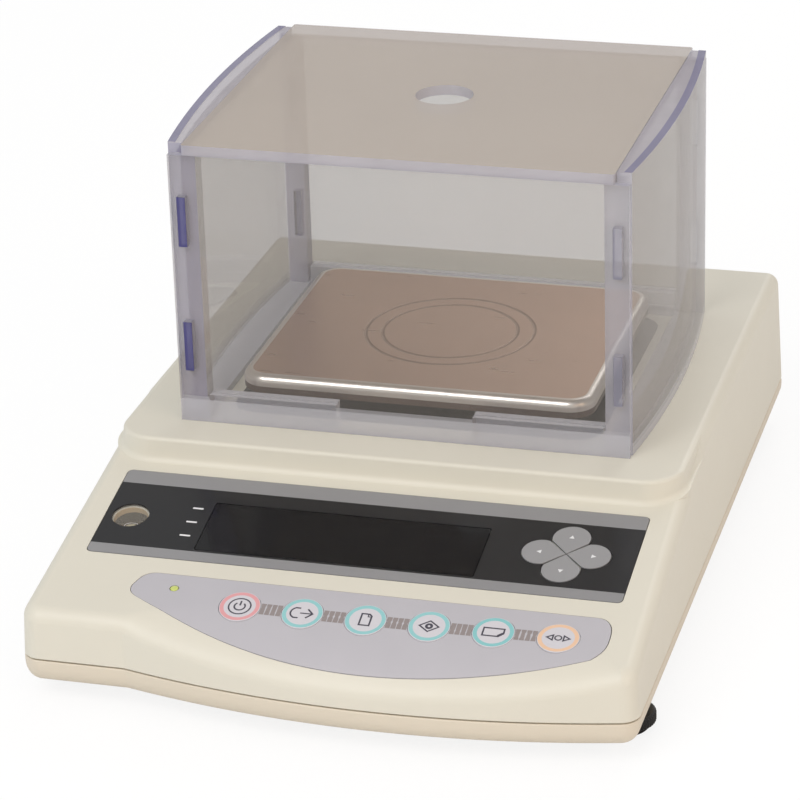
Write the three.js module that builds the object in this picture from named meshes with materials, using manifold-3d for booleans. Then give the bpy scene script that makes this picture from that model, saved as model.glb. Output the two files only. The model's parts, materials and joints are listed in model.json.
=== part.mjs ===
// Mass comparator balance with a lift-off wind shield.
// Millimetres, +X to the right, +Y to the back, +Z up. The origin is on the bench, below the
// middle of the balance's length and width.

import * as THREE from 'three';
import { mergeVertices } from 'three/addons/utils/BufferGeometryUtils.js';
import Module from 'manifold-3d';

const wasm = await Module();
wasm.setup();

// Pan, and the shield that stands round it
const panWidth = 140;
const panDepth = 117;
const shieldToPanSide = 18.5;
const shieldToPanEnd = 15.5;
const shieldHalfWidth = panWidth / 2 + shieldToPanSide;
const shieldHalfDepth = panDepth / 2 + shieldToPanEnd;

// Casing: the outline of its parting line, and the heights of its levels
const casingBeyondShield = 27;
const casingHalfWidth = shieldHalfWidth + casingBeyondShield;
const casingRearY = 159.2;
const casingFrontY = -150.1;
const chinFrontY = -162.2;
const chinApexX = 20;
const chinRadius = 379;
const frontCornerRadius = 7.6;
const casingSideTaper = 2.3;
const rearTrimRadius = 12;
const casingWall = 2.5;
const wallLeanShare = 0.048;
const trayBottomZ = 8.1;
const partingZ = 17.3;
const partingGap = 0.8;
const deckZ = 65;
const deckEdgeRadius = 5;
const chinRoundingRun = 40;
const chinRoundingDrop = 12.5;
const chinFadePower = 0.75;
const trayTuck = 4.5;
const trayTuckRise = 7;
const tongueThickness = 1.2;
const tongueRise = 1.1;
const tongueRoot = 2;

// Console: the sloping plane in front of the deck
const consoleSlope = THREE.MathUtils.degToRad(11.1);
const consoleMeetsDeckY = -5.4;

// Plateau that carries the shield
const plateauFrontY = -53.4;
const plateauSideMargin = 5;
const plateauCornerRadius = 15;
const plateauFlare = 1.5;
const plateauEdgeRadius = 1.5;

// Fits
const seatGap = 0.3;
const liftGap = 0.1;
const cutOverrun = 2;
const smallestRadius = 0.5;

// Display panel, in the console's plane
const displayPanelMargin = 13.9;
const displayPanelWidth = 2 * (casingHalfWidth - displayPanelMargin);
const displayPanelDepth = 51.6;
const displayPanelTopY = -60.6;
const displayPanelCorner = 2;
const panelThickness = 1;
const panelProud = 0.1;
const levelInset = 23.6;
const levelX = levelInset - casingHalfWidth;
const cursorInset = 39.7;
const cursorX = casingHalfWidth - cursorInset;
const levelToWindow = 30.2;
const windowToCursor = 30.5;
const windowLeftX = levelX + levelToWindow;
const windowRightX = cursorX - windowToCursor;
const windowWidth = windowRightX - windowLeftX;
const windowX = (windowLeftX + windowRightX) / 2;
const windowDepth = 29.4;
const windowV = -4.5;
const windowCorner = 0.8;
const windowThickness = 0.9;
const displayOpeningMargin = 1;

// Display tube and its board
const tubeMargin = 3;
const tubeWidth = windowWidth + 2 * tubeMargin;
const tubeDepth = 34;
const tubeThickness = 6.4;
const tubeTopW = -4.2;
const boardLeftOfWindow = 10;
const boardRightOfCursor = 22;
const displayBoardLeftX = windowLeftX - boardLeftOfWindow;
const displayBoardRightX = cursorX + boardRightOfCursor;
const displayBoardWidth = displayBoardRightX - displayBoardLeftX;
const displayBoardX = (displayBoardLeftX + displayBoardRightX) / 2;
const displayBoardDepth = 38;
const boardThickness = 1.6;
const boardPostRadius = 2.5;
const boardPostInset = 4;

// Spirit level
const levelV = -2.2;
const levelWindowRadius = 6.8;
const levelWindowThickness = 1;
const levelVialRadius = 6.2;
const levelVialHeight = 8;
const levelVialDepth = 4.6;
const levelVialChamfer = 1;
const levelPillarRadius = 5;

// Cursor keys: four petals of one quatrefoil
const cursorV = -0.9;
const petalOffset = 9.5;
const petalRadius = 7.1;
const petalTip = 0.7;
const petalArcAngle = THREE.MathUtils.degToRad(107);

// Key row on the key panel
const keyPanelLeftInset = 37.9;
const keyPanelRightInset = 13.9;
const keyPanelLeftX = keyPanelLeftInset - casingHalfWidth;
const keyPanelRightX = casingHalfWidth - keyPanelRightInset;
const keyCount = 6;
const firstKeyInset = 43;
const lastKeyInset = 17.95;
const firstKeyX = keyPanelLeftX + firstKeyInset;
const keyPitch = (keyPanelRightX - lastKeyInset - firstKeyX) / (keyCount - 1);
const keyRowY = -134.1;
const keyRadius = 7.7;
const keyCapThickness = 0.75;
const keyProud = 0.25;
const keyStemRadius = 1.6;
const keyTravel = 0.5;
const keyStemClearance = 0.5;
const keyBoardTopW = -9;
const keyBoardMargin = 3;
const keyBoardLeftX = keyPanelLeftX + keyBoardMargin;
const keyBoardRightX = keyPanelRightX - keyBoardMargin;
const keyBoardTopV = -37;
const keyBoardDepth = 23;
const switchHeight = 1.4;
const switchWidth = 6;

// Key panel: a boat-shaped plate, its outline in shares of its length and depth
const keyPanelTopV = -34.9;
const keyPanelDepth = 38;
const boatShares = {
    topLeft: [0.045, 0],
    topRight: [0.955, 0.02],
    right: [1, 0.3],
    lowerRight: [0.975, 0.63],
    bottomPullRight: [0.8, 0.95],
    bottomPullLeft: [0.38, 1.38],
    lowerLeft: [0.03, 0.41],
    leftPull: [-0.012, 0.32],
    left: [0.004, 0.17],
    upperLeftPull: [0.012, 0],
};

// Status lamp
const lampInset = 16;
const lampX = keyPanelLeftX + lampInset;
const lampV = -42.8;
const lampRadius = 1.5;
const lampProud = 0.4;

// Weighing pan
const shieldCentreY = 39.2;
const panCornerRadius = 10;
const panHeight = 14.1;
const panSheet = 1.2;
const panSkirt = 7;
const panEdgeRadius = 2.8;
const ringRadii = [33.6, 26.9];
const ringGrooveWidth = 1;
const ringGrooveDepth = 0.3;

// Chamber floor, the black plate in the deck under the pan
const chamberFloorMargin = 3;
const chamberFloorThickness = 1.2;
const chamberFloorProud = 0.4;
const chamberFloorBore = 9;
const deckBore = 14;

// Pan spider and its cushions
const spiderHubRadius = 9;
const spiderArmWidth = 9;
const spiderEndShare = 0.6;
const spiderThickness = 4;
const spiderSocketRadius = 4.3;
const spiderSocketDepth = 3.2;
const cushionInset = 22;
const cushionX = panWidth / 2 - cushionInset;
const cushionY = panDepth / 2 - cushionInset;
const cushionRadius = 4.5;
const cushionHeight = 2.2;

// Wind shield
const shieldHeight = 113;
const shieldBow = 4.9;
const paneThickness = 3;
const postWidth = 10;
const postDepth = 7;
const flangeWidth = 10.5;
const flangeInnerX = shieldHalfWidth - flangeWidth;
const flangeThickness = 3;
const ledgeWidth = 5.5;
const lidHalfWidth = shieldHalfWidth - ledgeWidth;
const lidThickness = 4;
const lidHoleRadius = 11.3;
const railInnerX = 27;
const railHeight = 10;
const railDepth = 6;
const railGroove = 1.2;
const tabWidth = 3.3;
const tabInset = 4.5;
const tabX = shieldHalfWidth - tabInset;
const tabHeight = 20;
const lowTabHeight = 31;
const tabSpacing = 51;
const tabHeights = [lowTabHeight, lowTabHeight + tabSpacing];

// Levelling feet
const frontFootSideInset = 9.9;
const rearFootSideInset = 19;
const frontFootInset = 29;
const rearFootInset = 31;
const frontFootX = casingHalfWidth - frontFootSideInset;
const rearFootX = casingHalfWidth - rearFootSideInset;
const frontFootY = casingFrontY + frontFootInset;
const rearFootY = casingRearY - rearFootInset;
const footWheelRadius = 10.6;
const footWheelZ = 2.5;
const footWheelThickness = 4.5;
const footWheelChamfer = 0.7;
const footStudRadius = 3.6;
const footStudTopZ = 21;
const footStudClearance = 0.3;
const footBossRadius = 7;
const footBossTopZ = 18;
const footPadRadius = 8;
const footPadHeight = 2.4;
const footPadEdge = 0.6;

// Cover screws and their posts
const screwSideInset = 23.5;
const frontScrewInset = 36;
const rearScrewInset = 49.7;
const screwX = casingHalfWidth - screwSideInset;
const frontScrewY = casingFrontY + frontScrewInset;
const rearScrewY = casingRearY - rearScrewInset;
const screwHeadRadius = 3.4;
const screwHeadHeight = 2.2;
const screwHeadZ = 9.4;
const screwShankRadius = 1.5;
const screwTopZ = 30;
const screwBossRadius = 5.6;
const screwBossTopZ = 19.7;
const coverPostRadius = 4.6;
const coverPostBottomZ = 20;

// Base plate and the weighing mechanism, with the main board at their left
const mainBoardInset = 8.5;
const mainBoardWidth = 41;
const mainBoardLeftX = mainBoardInset - casingHalfWidth;
const mainBoardRightX = mainBoardLeftX + mainBoardWidth;
const boardToBasePlate = 6;
const basePlateHalfWidth = -mainBoardRightX - boardToBasePlate;
const basePlateFrontY = -23.1;
const basePlateRearY = 106.9;
const basePlateZ = 13;
const basePlateThickness = 4;
const basePlateCorner = 6;
const basePlatePillarInset = 8;
const pillarRadius = 3;
const mechanismHalfWidth = 20;
const frameFrontY = 18.9;
const frameRearY = 92.9;
const frameFootThickness = 4;
const ledgeFrontY = 70.9;
const postFrontY = 78.9;
const ledgeTopZ = 27;
const postTopZ = 50;
const guideThickness = 0.8;
const linkThickness = 0.8;
const linkWidth = 8;
const linkY = 54.9;
const guideFrontY = 45.9;
const guideWindowHalfWidth = 11;
const guideWindowFrontY = 52.9;
const guideWindowRearY = 75.4;
const carrierHalfWidth = 12;
const carrierFrontY = 32.9;
const carrierRearY = 45.3;
const upperLedgeRearY = 50.9;
const lowerLedgeRearY = 56.9;
const carrierBottomZ = 24;
const carrierLedgeThickness = 2;
const carrierShaftRadius = 4;
const leverHalfWidth = 5;
const leverFrontY = 50.9;
const leverRearY = 75.9;
const leverBottomZ = 37;
const leverThickness = 4;
const leverPivotY = 68.9;
const pivotPinRadius = 1.2;
const pivotBoreClearance = 0.1;
const earThickness = 3;
const earHalfDepth = 3.5;
const stopScrewRadius = 2.5;
const stopTravel = 0.6;
const forkY = 73.1;
const forkThickness = 1.2;
const forkWidth = 6;
const forkTineWidth = 2;
const forkYokeHeight = 2;
const sensorBoardHalfWidth = 15;
const sensorBoardTopZ = 46;
const sensorBoardBottomZ = 24;

// Main board
const mainBoardFrontY = -23.1;
const mainBoardRearY = 86.9;
const mainBoardZ = 16;
const mainBoardPillarInset = 4;
const chipHeight = 3;
const chipShares = [[0.3, 0.25, 0.4, 0.16], [0.62, 0.55, 0.36, 0.14], [0.35, 0.82, 0.3, 0.12]];

// Rear connectors
const connectorZ = 38;
const connectorRecess = 1.9;
const connectorSeatY = casingRearY - connectorRecess;
const jackInset = 37.5;
const jackX = jackInset - casingHalfWidth;
const jackToSerial = 38;
const serialX = jackX + jackToSerial;
const serialFlangeWidth = 31;
const serialFlangeHeight = 12.5;
const serialFlangeThickness = 1.2;
const serialShellWidth = 18;
const serialShellHeight = 8.4;
const serialShellTaper = 1;
const serialShellWall = 0.6;
const serialReach = 4.9;
const serialBodyDepth = 9;
const serialPinHeight = 5;
const serialPinWidth = 15;
const jackFlangeRadius = 6;
const jackFlangeThickness = 1.6;
const jackBodyRadius = 5;
const jackBodyDepth = 12;
const jackBoreRadius = 3.1;
const jackBoreDepth = 9;
const jackPinRadius = 1;
const connectorRecessMargin = 3;

// Steps of round stretches
const cornerSteps = 4;
const chinSteps = 14;
const edgeSteps = 4;
const innerSteps = 2;
const fineSides = 24;
const midSides = 16;
const coarseSides = 10;

// Materials
const finish = (color, roughness, metalness = 0) =>
    new THREE.MeshStandardMaterial({ color, roughness, metalness });
const clear = (color, opacity) =>
    new THREE.MeshStandardMaterial({ color, roughness: 0.1, opacity, transparent: true });
const casingPlastic = finish(0xddd8ca, 0.5);
const trayPlastic = finish(0xd8d0bd, 0.5);
const darkPanel = finish(0x3c3c42, 0.35);
const darkGlass = clear(0x242426, 0.6);
const lilacPanel = finish(0xc5c1c8, 0.4);
const greyKey = finish(0x8c8c8e, 0.45);
const keyFilm = finish(0xdedce0, 0.4);
const lampGreen = finish(0xc8e03c, 0.3);
const acrylic = clear(0xb8b4cc, 0.35);
const steel = finish(0x96846f, 0.3, 1);
const blackPlastic = finish(0x141414, 0.6);
const castMetal = finish(0xa8a8a6, 0.5, 1);
const springMetal = finish(0xbcb8a8, 0.35, 1);
const blackRubber = finish(0x1a1a1a, 0.85);
const circuitBoard = finish(0x2d5a3a, 0.6);
const screwMetal = finish(0xb0b0b4, 0.35, 1);
const tubeGlass = clear(0x30383c, 0.7);
const vialGlass = clear(0xc0a878, 0.6);

// Signed volume of an indexed geometry, which is negative when its faces point inwards
function signedVolume(geometry) {
    const place = geometry.getAttribute('position');
    const index = geometry.getIndex();
    const a = new THREE.Vector3();
    const b = new THREE.Vector3();
    const c = new THREE.Vector3();
    let volume = 0;
    for (let i = 0; i < index.count; i += 3) {
        a.fromBufferAttribute(place, index.getX(i));
        b.fromBufferAttribute(place, index.getX(i + 1));
        c.fromBufferAttribute(place, index.getX(i + 2));
        volume += a.dot(b.cross(c)) / 6;
    }
    return volume;
}

// One closed body from a geometry: shared vertices merged and the faces pointing out
function solidOf(geometry) {
    const bare = geometry.clone();
    bare.deleteAttribute('normal');
    bare.deleteAttribute('uv');
    const merged = mergeVertices(bare);
    const triVerts = new Uint32Array(merged.getIndex().array);
    if (signedVolume(merged) < 0) {
        for (let i = 0; i < triVerts.length; i += 3) {
            [triVerts[i], triVerts[i + 1]] = [triVerts[i + 1], triVerts[i]];
        }
    }
    const vertProperties = new Float32Array(merged.getAttribute('position').array);
    return new wasm.Manifold(new wasm.Mesh({ numProp: 3, vertProperties, triVerts }));
}

function geometryOf(solid) {
    const mesh = solid.getMesh();
    const geometry = new THREE.BufferGeometry();
    geometry.setAttribute('position', new THREE.BufferAttribute(new Float32Array(mesh.vertProperties), 3));
    geometry.setIndex(new THREE.BufferAttribute(new Uint32Array(mesh.triVerts), 1));
    geometry.computeVertexNormals();
    return geometry;
}

// Joins the added geometries to the first, then cuts the others from it
function shaped(geometry, added = [], removed = []) {
    let solid = solidOf(geometry);
    for (const more of added) {
        solid = solid.add(solidOf(more));
    }
    for (const less of removed) {
        solid = solid.subtract(solidOf(less));
    }
    return geometryOf(solid);
}

function common(first, second) {
    return geometryOf(solidOf(first).intersect(solidOf(second)));
}

// A box between two corners
function slab(x0, x1, y0, y1, z0, z1) {
    const box = new THREE.BoxGeometry(x1 - x0, y1 - y0, z1 - z0);
    return box.translate((x0 + x1) / 2, (y0 + y1) / 2, (z0 + z1) / 2);
}

// A body turned about an upright axis from a profile of [radius, height] points
function turned(profile, sides) {
    const points = profile.map(([radius, height]) => new THREE.Vector2(radius, height));
    const lathe = new THREE.LatheGeometry(points, sides).rotateX(Math.PI / 2);
    return geometryOf(solidOf(lathe));
}

function rod(radius, z0, z1, sides) {
    return new THREE.CylinderGeometry(radius, radius, z1 - z0, sides)
        .rotateX(Math.PI / 2)
        .translate(0, 0, (z0 + z1) / 2);
}

// A flat plate of a shape in X and Y, from height z0 to z1
function plate(shape, z0, z1, steps = cornerSteps) {
    return new THREE.ExtrudeGeometry(shape, { depth: z1 - z0, bevelEnabled: false, curveSegments: steps })
        .translate(0, 0, z0);
}

// A side profile in Y and Z, given from x0 to x1
function profiled(points, x0, x1) {
    const shape = new THREE.Shape(points.map(([y, z]) => new THREE.Vector2(y, z)));
    const turn = new THREE.Matrix4().makeBasis(
        new THREE.Vector3(0, 1, 0),
        new THREE.Vector3(0, 0, 1),
        new THREE.Vector3(1, 0, 0),
    );
    return new THREE.ExtrudeGeometry(shape, { depth: x1 - x0, bevelEnabled: false })
        .applyMatrix4(turn)
        .translate(x0, 0, 0);
}

function roundedRectangle(width, depth, radius) {
    const x = width / 2;
    const y = depth / 2;
    const shape = new THREE.Shape();
    shape.moveTo(-x + radius, -y);
    shape.lineTo(x - radius, -y);
    shape.absarc(x - radius, -y + radius, radius, -Math.PI / 2, 0);
    shape.lineTo(x, y - radius);
    shape.absarc(x - radius, y - radius, radius, 0, Math.PI / 2);
    shape.lineTo(-x + radius, y);
    shape.absarc(-x + radius, y - radius, radius, Math.PI / 2, Math.PI);
    shape.lineTo(-x, -y + radius);
    shape.absarc(-x + radius, -y + radius, radius, Math.PI, 1.5 * Math.PI);
    return shape;
}

// Points of an arc with their outward normals, added to an outline that runs anticlockwise
function addArc(outline, x, y, radius, from, to, steps, shareAt = () => 0) {
    for (let i = 0; i <= steps; i += 1) {
        const angle = from + (to - from) * i / steps;
        const nx = Math.cos(angle);
        const ny = Math.sin(angle);
        outline.push({ x: x + radius * nx, y: y + radius * ny, nx, ny, chinShare: shareAt(i / steps) });
    }
}

function rectangleOutline(halfWidth, frontY, rearY, radius) {
    const outline = [];
    addArc(outline, -halfWidth + radius, frontY + radius, radius, Math.PI, 1.5 * Math.PI, cornerSteps);
    addArc(outline, halfWidth - radius, frontY + radius, radius, -Math.PI / 2, 0, cornerSteps);
    addArc(outline, halfWidth - radius, rearY - radius, radius, 0, Math.PI / 2, cornerSteps);
    addArc(outline, -halfWidth + radius, rearY - radius, radius, Math.PI / 2, Math.PI, cornerSteps);
    return outline;
}

// The chin is an arc that bulges forward, from a crease in the casing's front to its right corner
const chinCentreY = chinFrontY + chinRadius;
const creaseX = chinApexX - Math.sqrt(chinRadius ** 2 - (chinCentreY - casingFrontY) ** 2);
const creaseAngle = Math.atan2(casingFrontY - chinCentreY, creaseX - chinApexX);
const rightCornerX = casingHalfWidth - frontCornerRadius;
const rightCornerReach = chinRadius - frontCornerRadius;
const rightCornerY = chinCentreY - Math.sqrt(rightCornerReach ** 2 - (rightCornerX - chinApexX) ** 2);
const rightAngle = Math.atan2(rightCornerY - chinCentreY, rightCornerX - chinApexX);
const chinShareAt = (arcShare) => Math.sin(Math.PI * THREE.MathUtils.clamp(arcShare, 0, 1)) ** chinFadePower;

// The casing's outline at the parting line, flat at the left of its front and bulging at the chin.
// It runs on past the flat rear wall, which is cut from it, so that its rear corners are sharp.
function casingOutline() {
    const outline = [];
    const rearX = casingHalfWidth - casingSideTaper - rearTrimRadius;
    const rearY = casingRearY + cutOverrun;
    const mitre = 1 - Math.sin(creaseAngle);
    addArc(outline, -rightCornerX, casingFrontY + frontCornerRadius, frontCornerRadius,
        Math.PI, 1.5 * Math.PI, cornerSteps);
    addArc(outline, chinApexX, chinCentreY, chinRadius, creaseAngle, rightAngle, chinSteps, chinShareAt);
    const crease = outline[cornerSteps + 1];
    crease.nx /= mitre;
    crease.ny = (crease.ny - 1) / mitre;
    outline.pop();
    addArc(outline, rightCornerX, rightCornerY, frontCornerRadius, rightAngle, 0, cornerSteps);
    addArc(outline, rearX, rearY, rearTrimRadius, 0, Math.PI / 2, cornerSteps);
    addArc(outline, -rearX, rearY, rearTrimRadius, Math.PI / 2, Math.PI, cornerSteps);
    return outline;
}

// A closed body through rings of points, all with as many points, closed by flat ends
function ringStack(rings) {
    const count = rings[0].length;
    const positions = rings.flat().flatMap((point) => point.toArray());
    const index = [];
    for (let ring = 0; ring + 1 < rings.length; ring += 1) {
        for (let i = 0; i < count; i += 1) {
            const next = (i + 1) % count;
            const low = ring * count;
            const high = low + count;
            index.push(low + i, low + next, high + next);
            index.push(low + i, high + next, high + i);
        }
    }
    const endFaces = (ring) => THREE.ShapeUtils.triangulateShape(
        rings[ring].map((point) => new THREE.Vector2(point.x, point.y)), []);
    const top = (rings.length - 1) * count;
    endFaces(0).forEach(([a, b, c]) => index.push(a, c, b));
    endFaces(rings.length - 1).forEach(([a, b, c]) => index.push(top + a, top + b, top + c));
    const geometry = new THREE.BufferGeometry();
    geometry.setAttribute('position', new THREE.Float32BufferAttribute(positions, 3));
    geometry.setIndex(index);
    return geometry;
}

// Rings that follow an outline, each drawn in by its own inset at its own height
function levelStack(outline, levels) {
    return ringStack(levels.map(([inset, z]) =>
        outline.map((p) => new THREE.Vector3(p.x - p.nx * inset, p.y - p.ny * inset, z))));
}

// The part of a body that lies in front of a rear wall
function endedAt(rearY, geometry) {
    const reach = 2 * casingHalfWidth;
    return common(geometry, slab(-reach, reach, -reach, rearY, -deckZ, reach));
}

const consoleZ = (y) => deckZ + Math.tan(consoleSlope) * (y - consoleMeetsDeckY);

// The casing up to a top plane, drawn in by an inset, with its upper edge rounded
function casingBlock(inset, bottomZ, topAt, steps = edgeSteps) {
    const outline = casingOutline();
    const rounding = (share, chinSize) => Math.max(
        THREE.MathUtils.lerp(deckEdgeRadius, chinSize, share) - inset, smallestRadius);
    const ringAt = (quarterShare) => outline.map((p) => {
        const run = rounding(p.chinShare, chinRoundingRun);
        const drop = rounding(p.chinShare, chinRoundingDrop);
        const wallTopZ = topAt(p.y) - drop;
        const lean = wallLeanShare * (wallTopZ - partingZ);
        const angle = quarterShare * Math.PI / 2;
        const drawnIn = inset + lean + run * (1 - Math.cos(angle));
        const x = p.x - p.nx * drawnIn;
        const y = p.y - p.ny * drawnIn;
        return new THREE.Vector3(x, y, topAt(y) - inset - drop * (1 - Math.sin(angle)));
    });
    const lean = wallLeanShare * (bottomZ - partingZ);
    const rings = [outline.map((p) =>
        new THREE.Vector3(p.x - p.nx * (inset + lean), p.y - p.ny * (inset + lean), bottomZ))];
    for (let i = 0; i <= steps; i += 1) {
        rings.push(ringAt(i / steps));
    }
    return endedAt(casingRearY - inset, ringStack(rings));
}

// Height and slope of the cover above the chin, where the console rolls over into the front wall
function chinSurface(x, y) {
    const angle = Math.asin((x - chinApexX) / chinRadius) - Math.PI / 2;
    const chinShare = chinShareAt((angle - creaseAngle) / (rightAngle - creaseAngle));
    const run = THREE.MathUtils.lerp(deckEdgeRadius, chinRoundingRun, chinShare);
    const drop = THREE.MathUtils.lerp(deckEdgeRadius, chinRoundingDrop, chinShare);
    const lean = wallLeanShare * (consoleZ(y) - drop - partingZ);
    const rollStartY = chinCentreY + chinRadius * Math.sin(angle) + lean + run;
    const rollShare = THREE.MathUtils.clamp((rollStartY - y) / run, 0, 1);
    const rest = Math.sqrt(1 - rollShare ** 2);
    return {
        z: consoleZ(y) - drop * (1 - rest),
        slope: Math.atan(Math.tan(consoleSlope) + drop * rollShare / (run * rest)),
    };
}

// The plateau: a rounded block with a flared front, higher than the deck, which trims it
function plateauBlock(inset) {
    const deckHalfWidth = casingHalfWidth - wallLeanShare * (deckZ - partingZ);
    const halfWidth = deckHalfWidth - plateauSideMargin / 2;
    const outline = rectangleOutline(halfWidth, plateauFrontY, casingRearY, plateauCornerRadius);
    const bottomZ = consoleZ(plateauFrontY) - plateauCornerRadius;
    const topZ = deckZ - inset;
    return levelStack(outline, [
        [inset - plateauFlare, bottomZ],
        [inset - plateauFlare, consoleZ(plateauFrontY)],
        [inset, topZ - plateauEdgeRadius],
        [inset + plateauEdgeRadius * (1 - Math.SQRT1_2), topZ - plateauEdgeRadius * (1 - Math.SQRT1_2)],
        [inset + plateauEdgeRadius, topZ],
        [inset + plateauEdgeRadius, topZ + cutOverrun],
    ]);
}

// Console, plateau and deck in one solid, drawn in by an inset
function casingTop(inset, bottomZ, steps) {
    const stepped = shaped(casingBlock(inset, bottomZ, consoleZ, steps), [plateauBlock(inset)]);
    return common(stepped, casingBlock(inset, bottomZ, () => deckZ, innerSteps));
}

// The console's own frame: X across, V up the slope, W out of the plane, at the display's middle
const consoleCentreY = displayPanelTopY - displayPanelDepth / 2 * Math.cos(consoleSlope);
const consoleFrame = new THREE.Matrix4()
    .makeRotationX(consoleSlope)
    .setPosition(0, consoleCentreY, consoleZ(consoleCentreY));
const onConsole = (geometry, x = 0, v = 0) => geometry.translate(x, v, 0).applyMatrix4(consoleFrame);
const panelTopW = panelProud;
const panelBottomW = panelProud - panelThickness;
const recessFloorW = panelBottomW - seatGap;

// Each key of the row lies flat on the cover where it stands
const keyFrames = Array.from({ length: keyCount }, (_, i) => {
    const x = firstKeyX + keyPitch * i;
    const surface = chinSurface(x, keyRowY);
    return new THREE.Matrix4().makeRotationX(surface.slope).setPosition(x, keyRowY, surface.z);
});
const keyPlaces = keyFrames.map((frame) =>
    new THREE.Vector3().setFromMatrixPosition(frame).applyMatrix4(consoleFrame.clone().invert()));
const displayBoardTopW = tubeTopW - tubeThickness - seatGap;
const stemHoleRadius = keyStemRadius + seatGap * 2;

// Quatrefoil path with lobes of a radius about the cursor keys' middle
function quatrefoil(path, radius) {
    const reach = (petalOffset + Math.sqrt(2 * radius ** 2 - petalOffset ** 2)) / 2;
    const sweep = Math.PI - Math.atan2(reach, petalOffset - reach);
    for (let lobe = 0; lobe < 4; lobe += 1) {
        const turn = lobe * Math.PI / 2;
        const x = cursorX + petalOffset * Math.cos(turn);
        const y = cursorV + petalOffset * Math.sin(turn);
        path.absarc(x, y, radius, turn - sweep, turn + sweep);
    }
    return path;
}

function boatShape(grow) {
    const left = keyPanelLeftX - grow;
    const width = keyPanelRightX - keyPanelLeftX + 2 * grow;
    const top = keyPanelTopV + grow;
    const depth = keyPanelDepth + 2 * grow;
    const at = (name) => [left + boatShares[name][0] * width, top - boatShares[name][1] * depth];
    const shape = new THREE.Shape();
    shape.moveTo(...at('topLeft'));
    shape.lineTo(...at('topRight'));
    shape.quadraticCurveTo(left + width, top, ...at('right'));
    shape.lineTo(...at('lowerRight'));
    shape.bezierCurveTo(...at('bottomPullRight'), ...at('bottomPullLeft'), ...at('lowerLeft'));
    shape.quadraticCurveTo(...at('leftPull'), ...at('left'));
    shape.quadraticCurveTo(...at('upperLeftPull'), ...at('topLeft'));
    return shape;
}

// A round hole of straight sides that all keep clear of its radius
function circlePath(x, y, radius, sides) {
    const reach = radius / Math.cos(Math.PI / sides);
    return new THREE.Path(Array.from({ length: sides }, (_, i) => {
        const angle = 2 * Math.PI * i / sides;
        return new THREE.Vector2(x + reach * Math.cos(angle), y + reach * Math.sin(angle));
    }));
}

// Posts under the console that hold the two boards
function boardPosts(leftX, rightX, topV, bottomV, boardTopW) {
    const posts = [];
    for (const x of [leftX + boardPostInset, rightX - boardPostInset]) {
        for (const v of [topV - boardPostInset, bottomV + boardPostInset]) {
            const post = rod(boardPostRadius, boardTopW + seatGap, recessFloorW - seatGap, coarseSides);
            posts.push(onConsole(post, x, v));
        }
    }
    return posts;
}

const footPlaces = [
    [-frontFootX, frontFootY], [frontFootX, frontFootY], [-rearFootX, rearFootY], [rearFootX, rearFootY],
];
const screwPlaces = [
    [-screwX, frontScrewY], [screwX, frontScrewY], [-screwX, rearScrewY], [screwX, rearScrewY],
];

// A prism on the console, and the plate that its outline gives on the rolled surface of the cover
function consolePrism(shape) {
    return onConsole(plate(shape, -chinRoundingDrop, cutOverrun));
}

function panelRecess(shape) {
    const floor = casingBlock(panelThickness + seatGap - panelProud, partingZ, consoleZ);
    return shaped(consolePrism(shape), [], [floor]);
}

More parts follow.
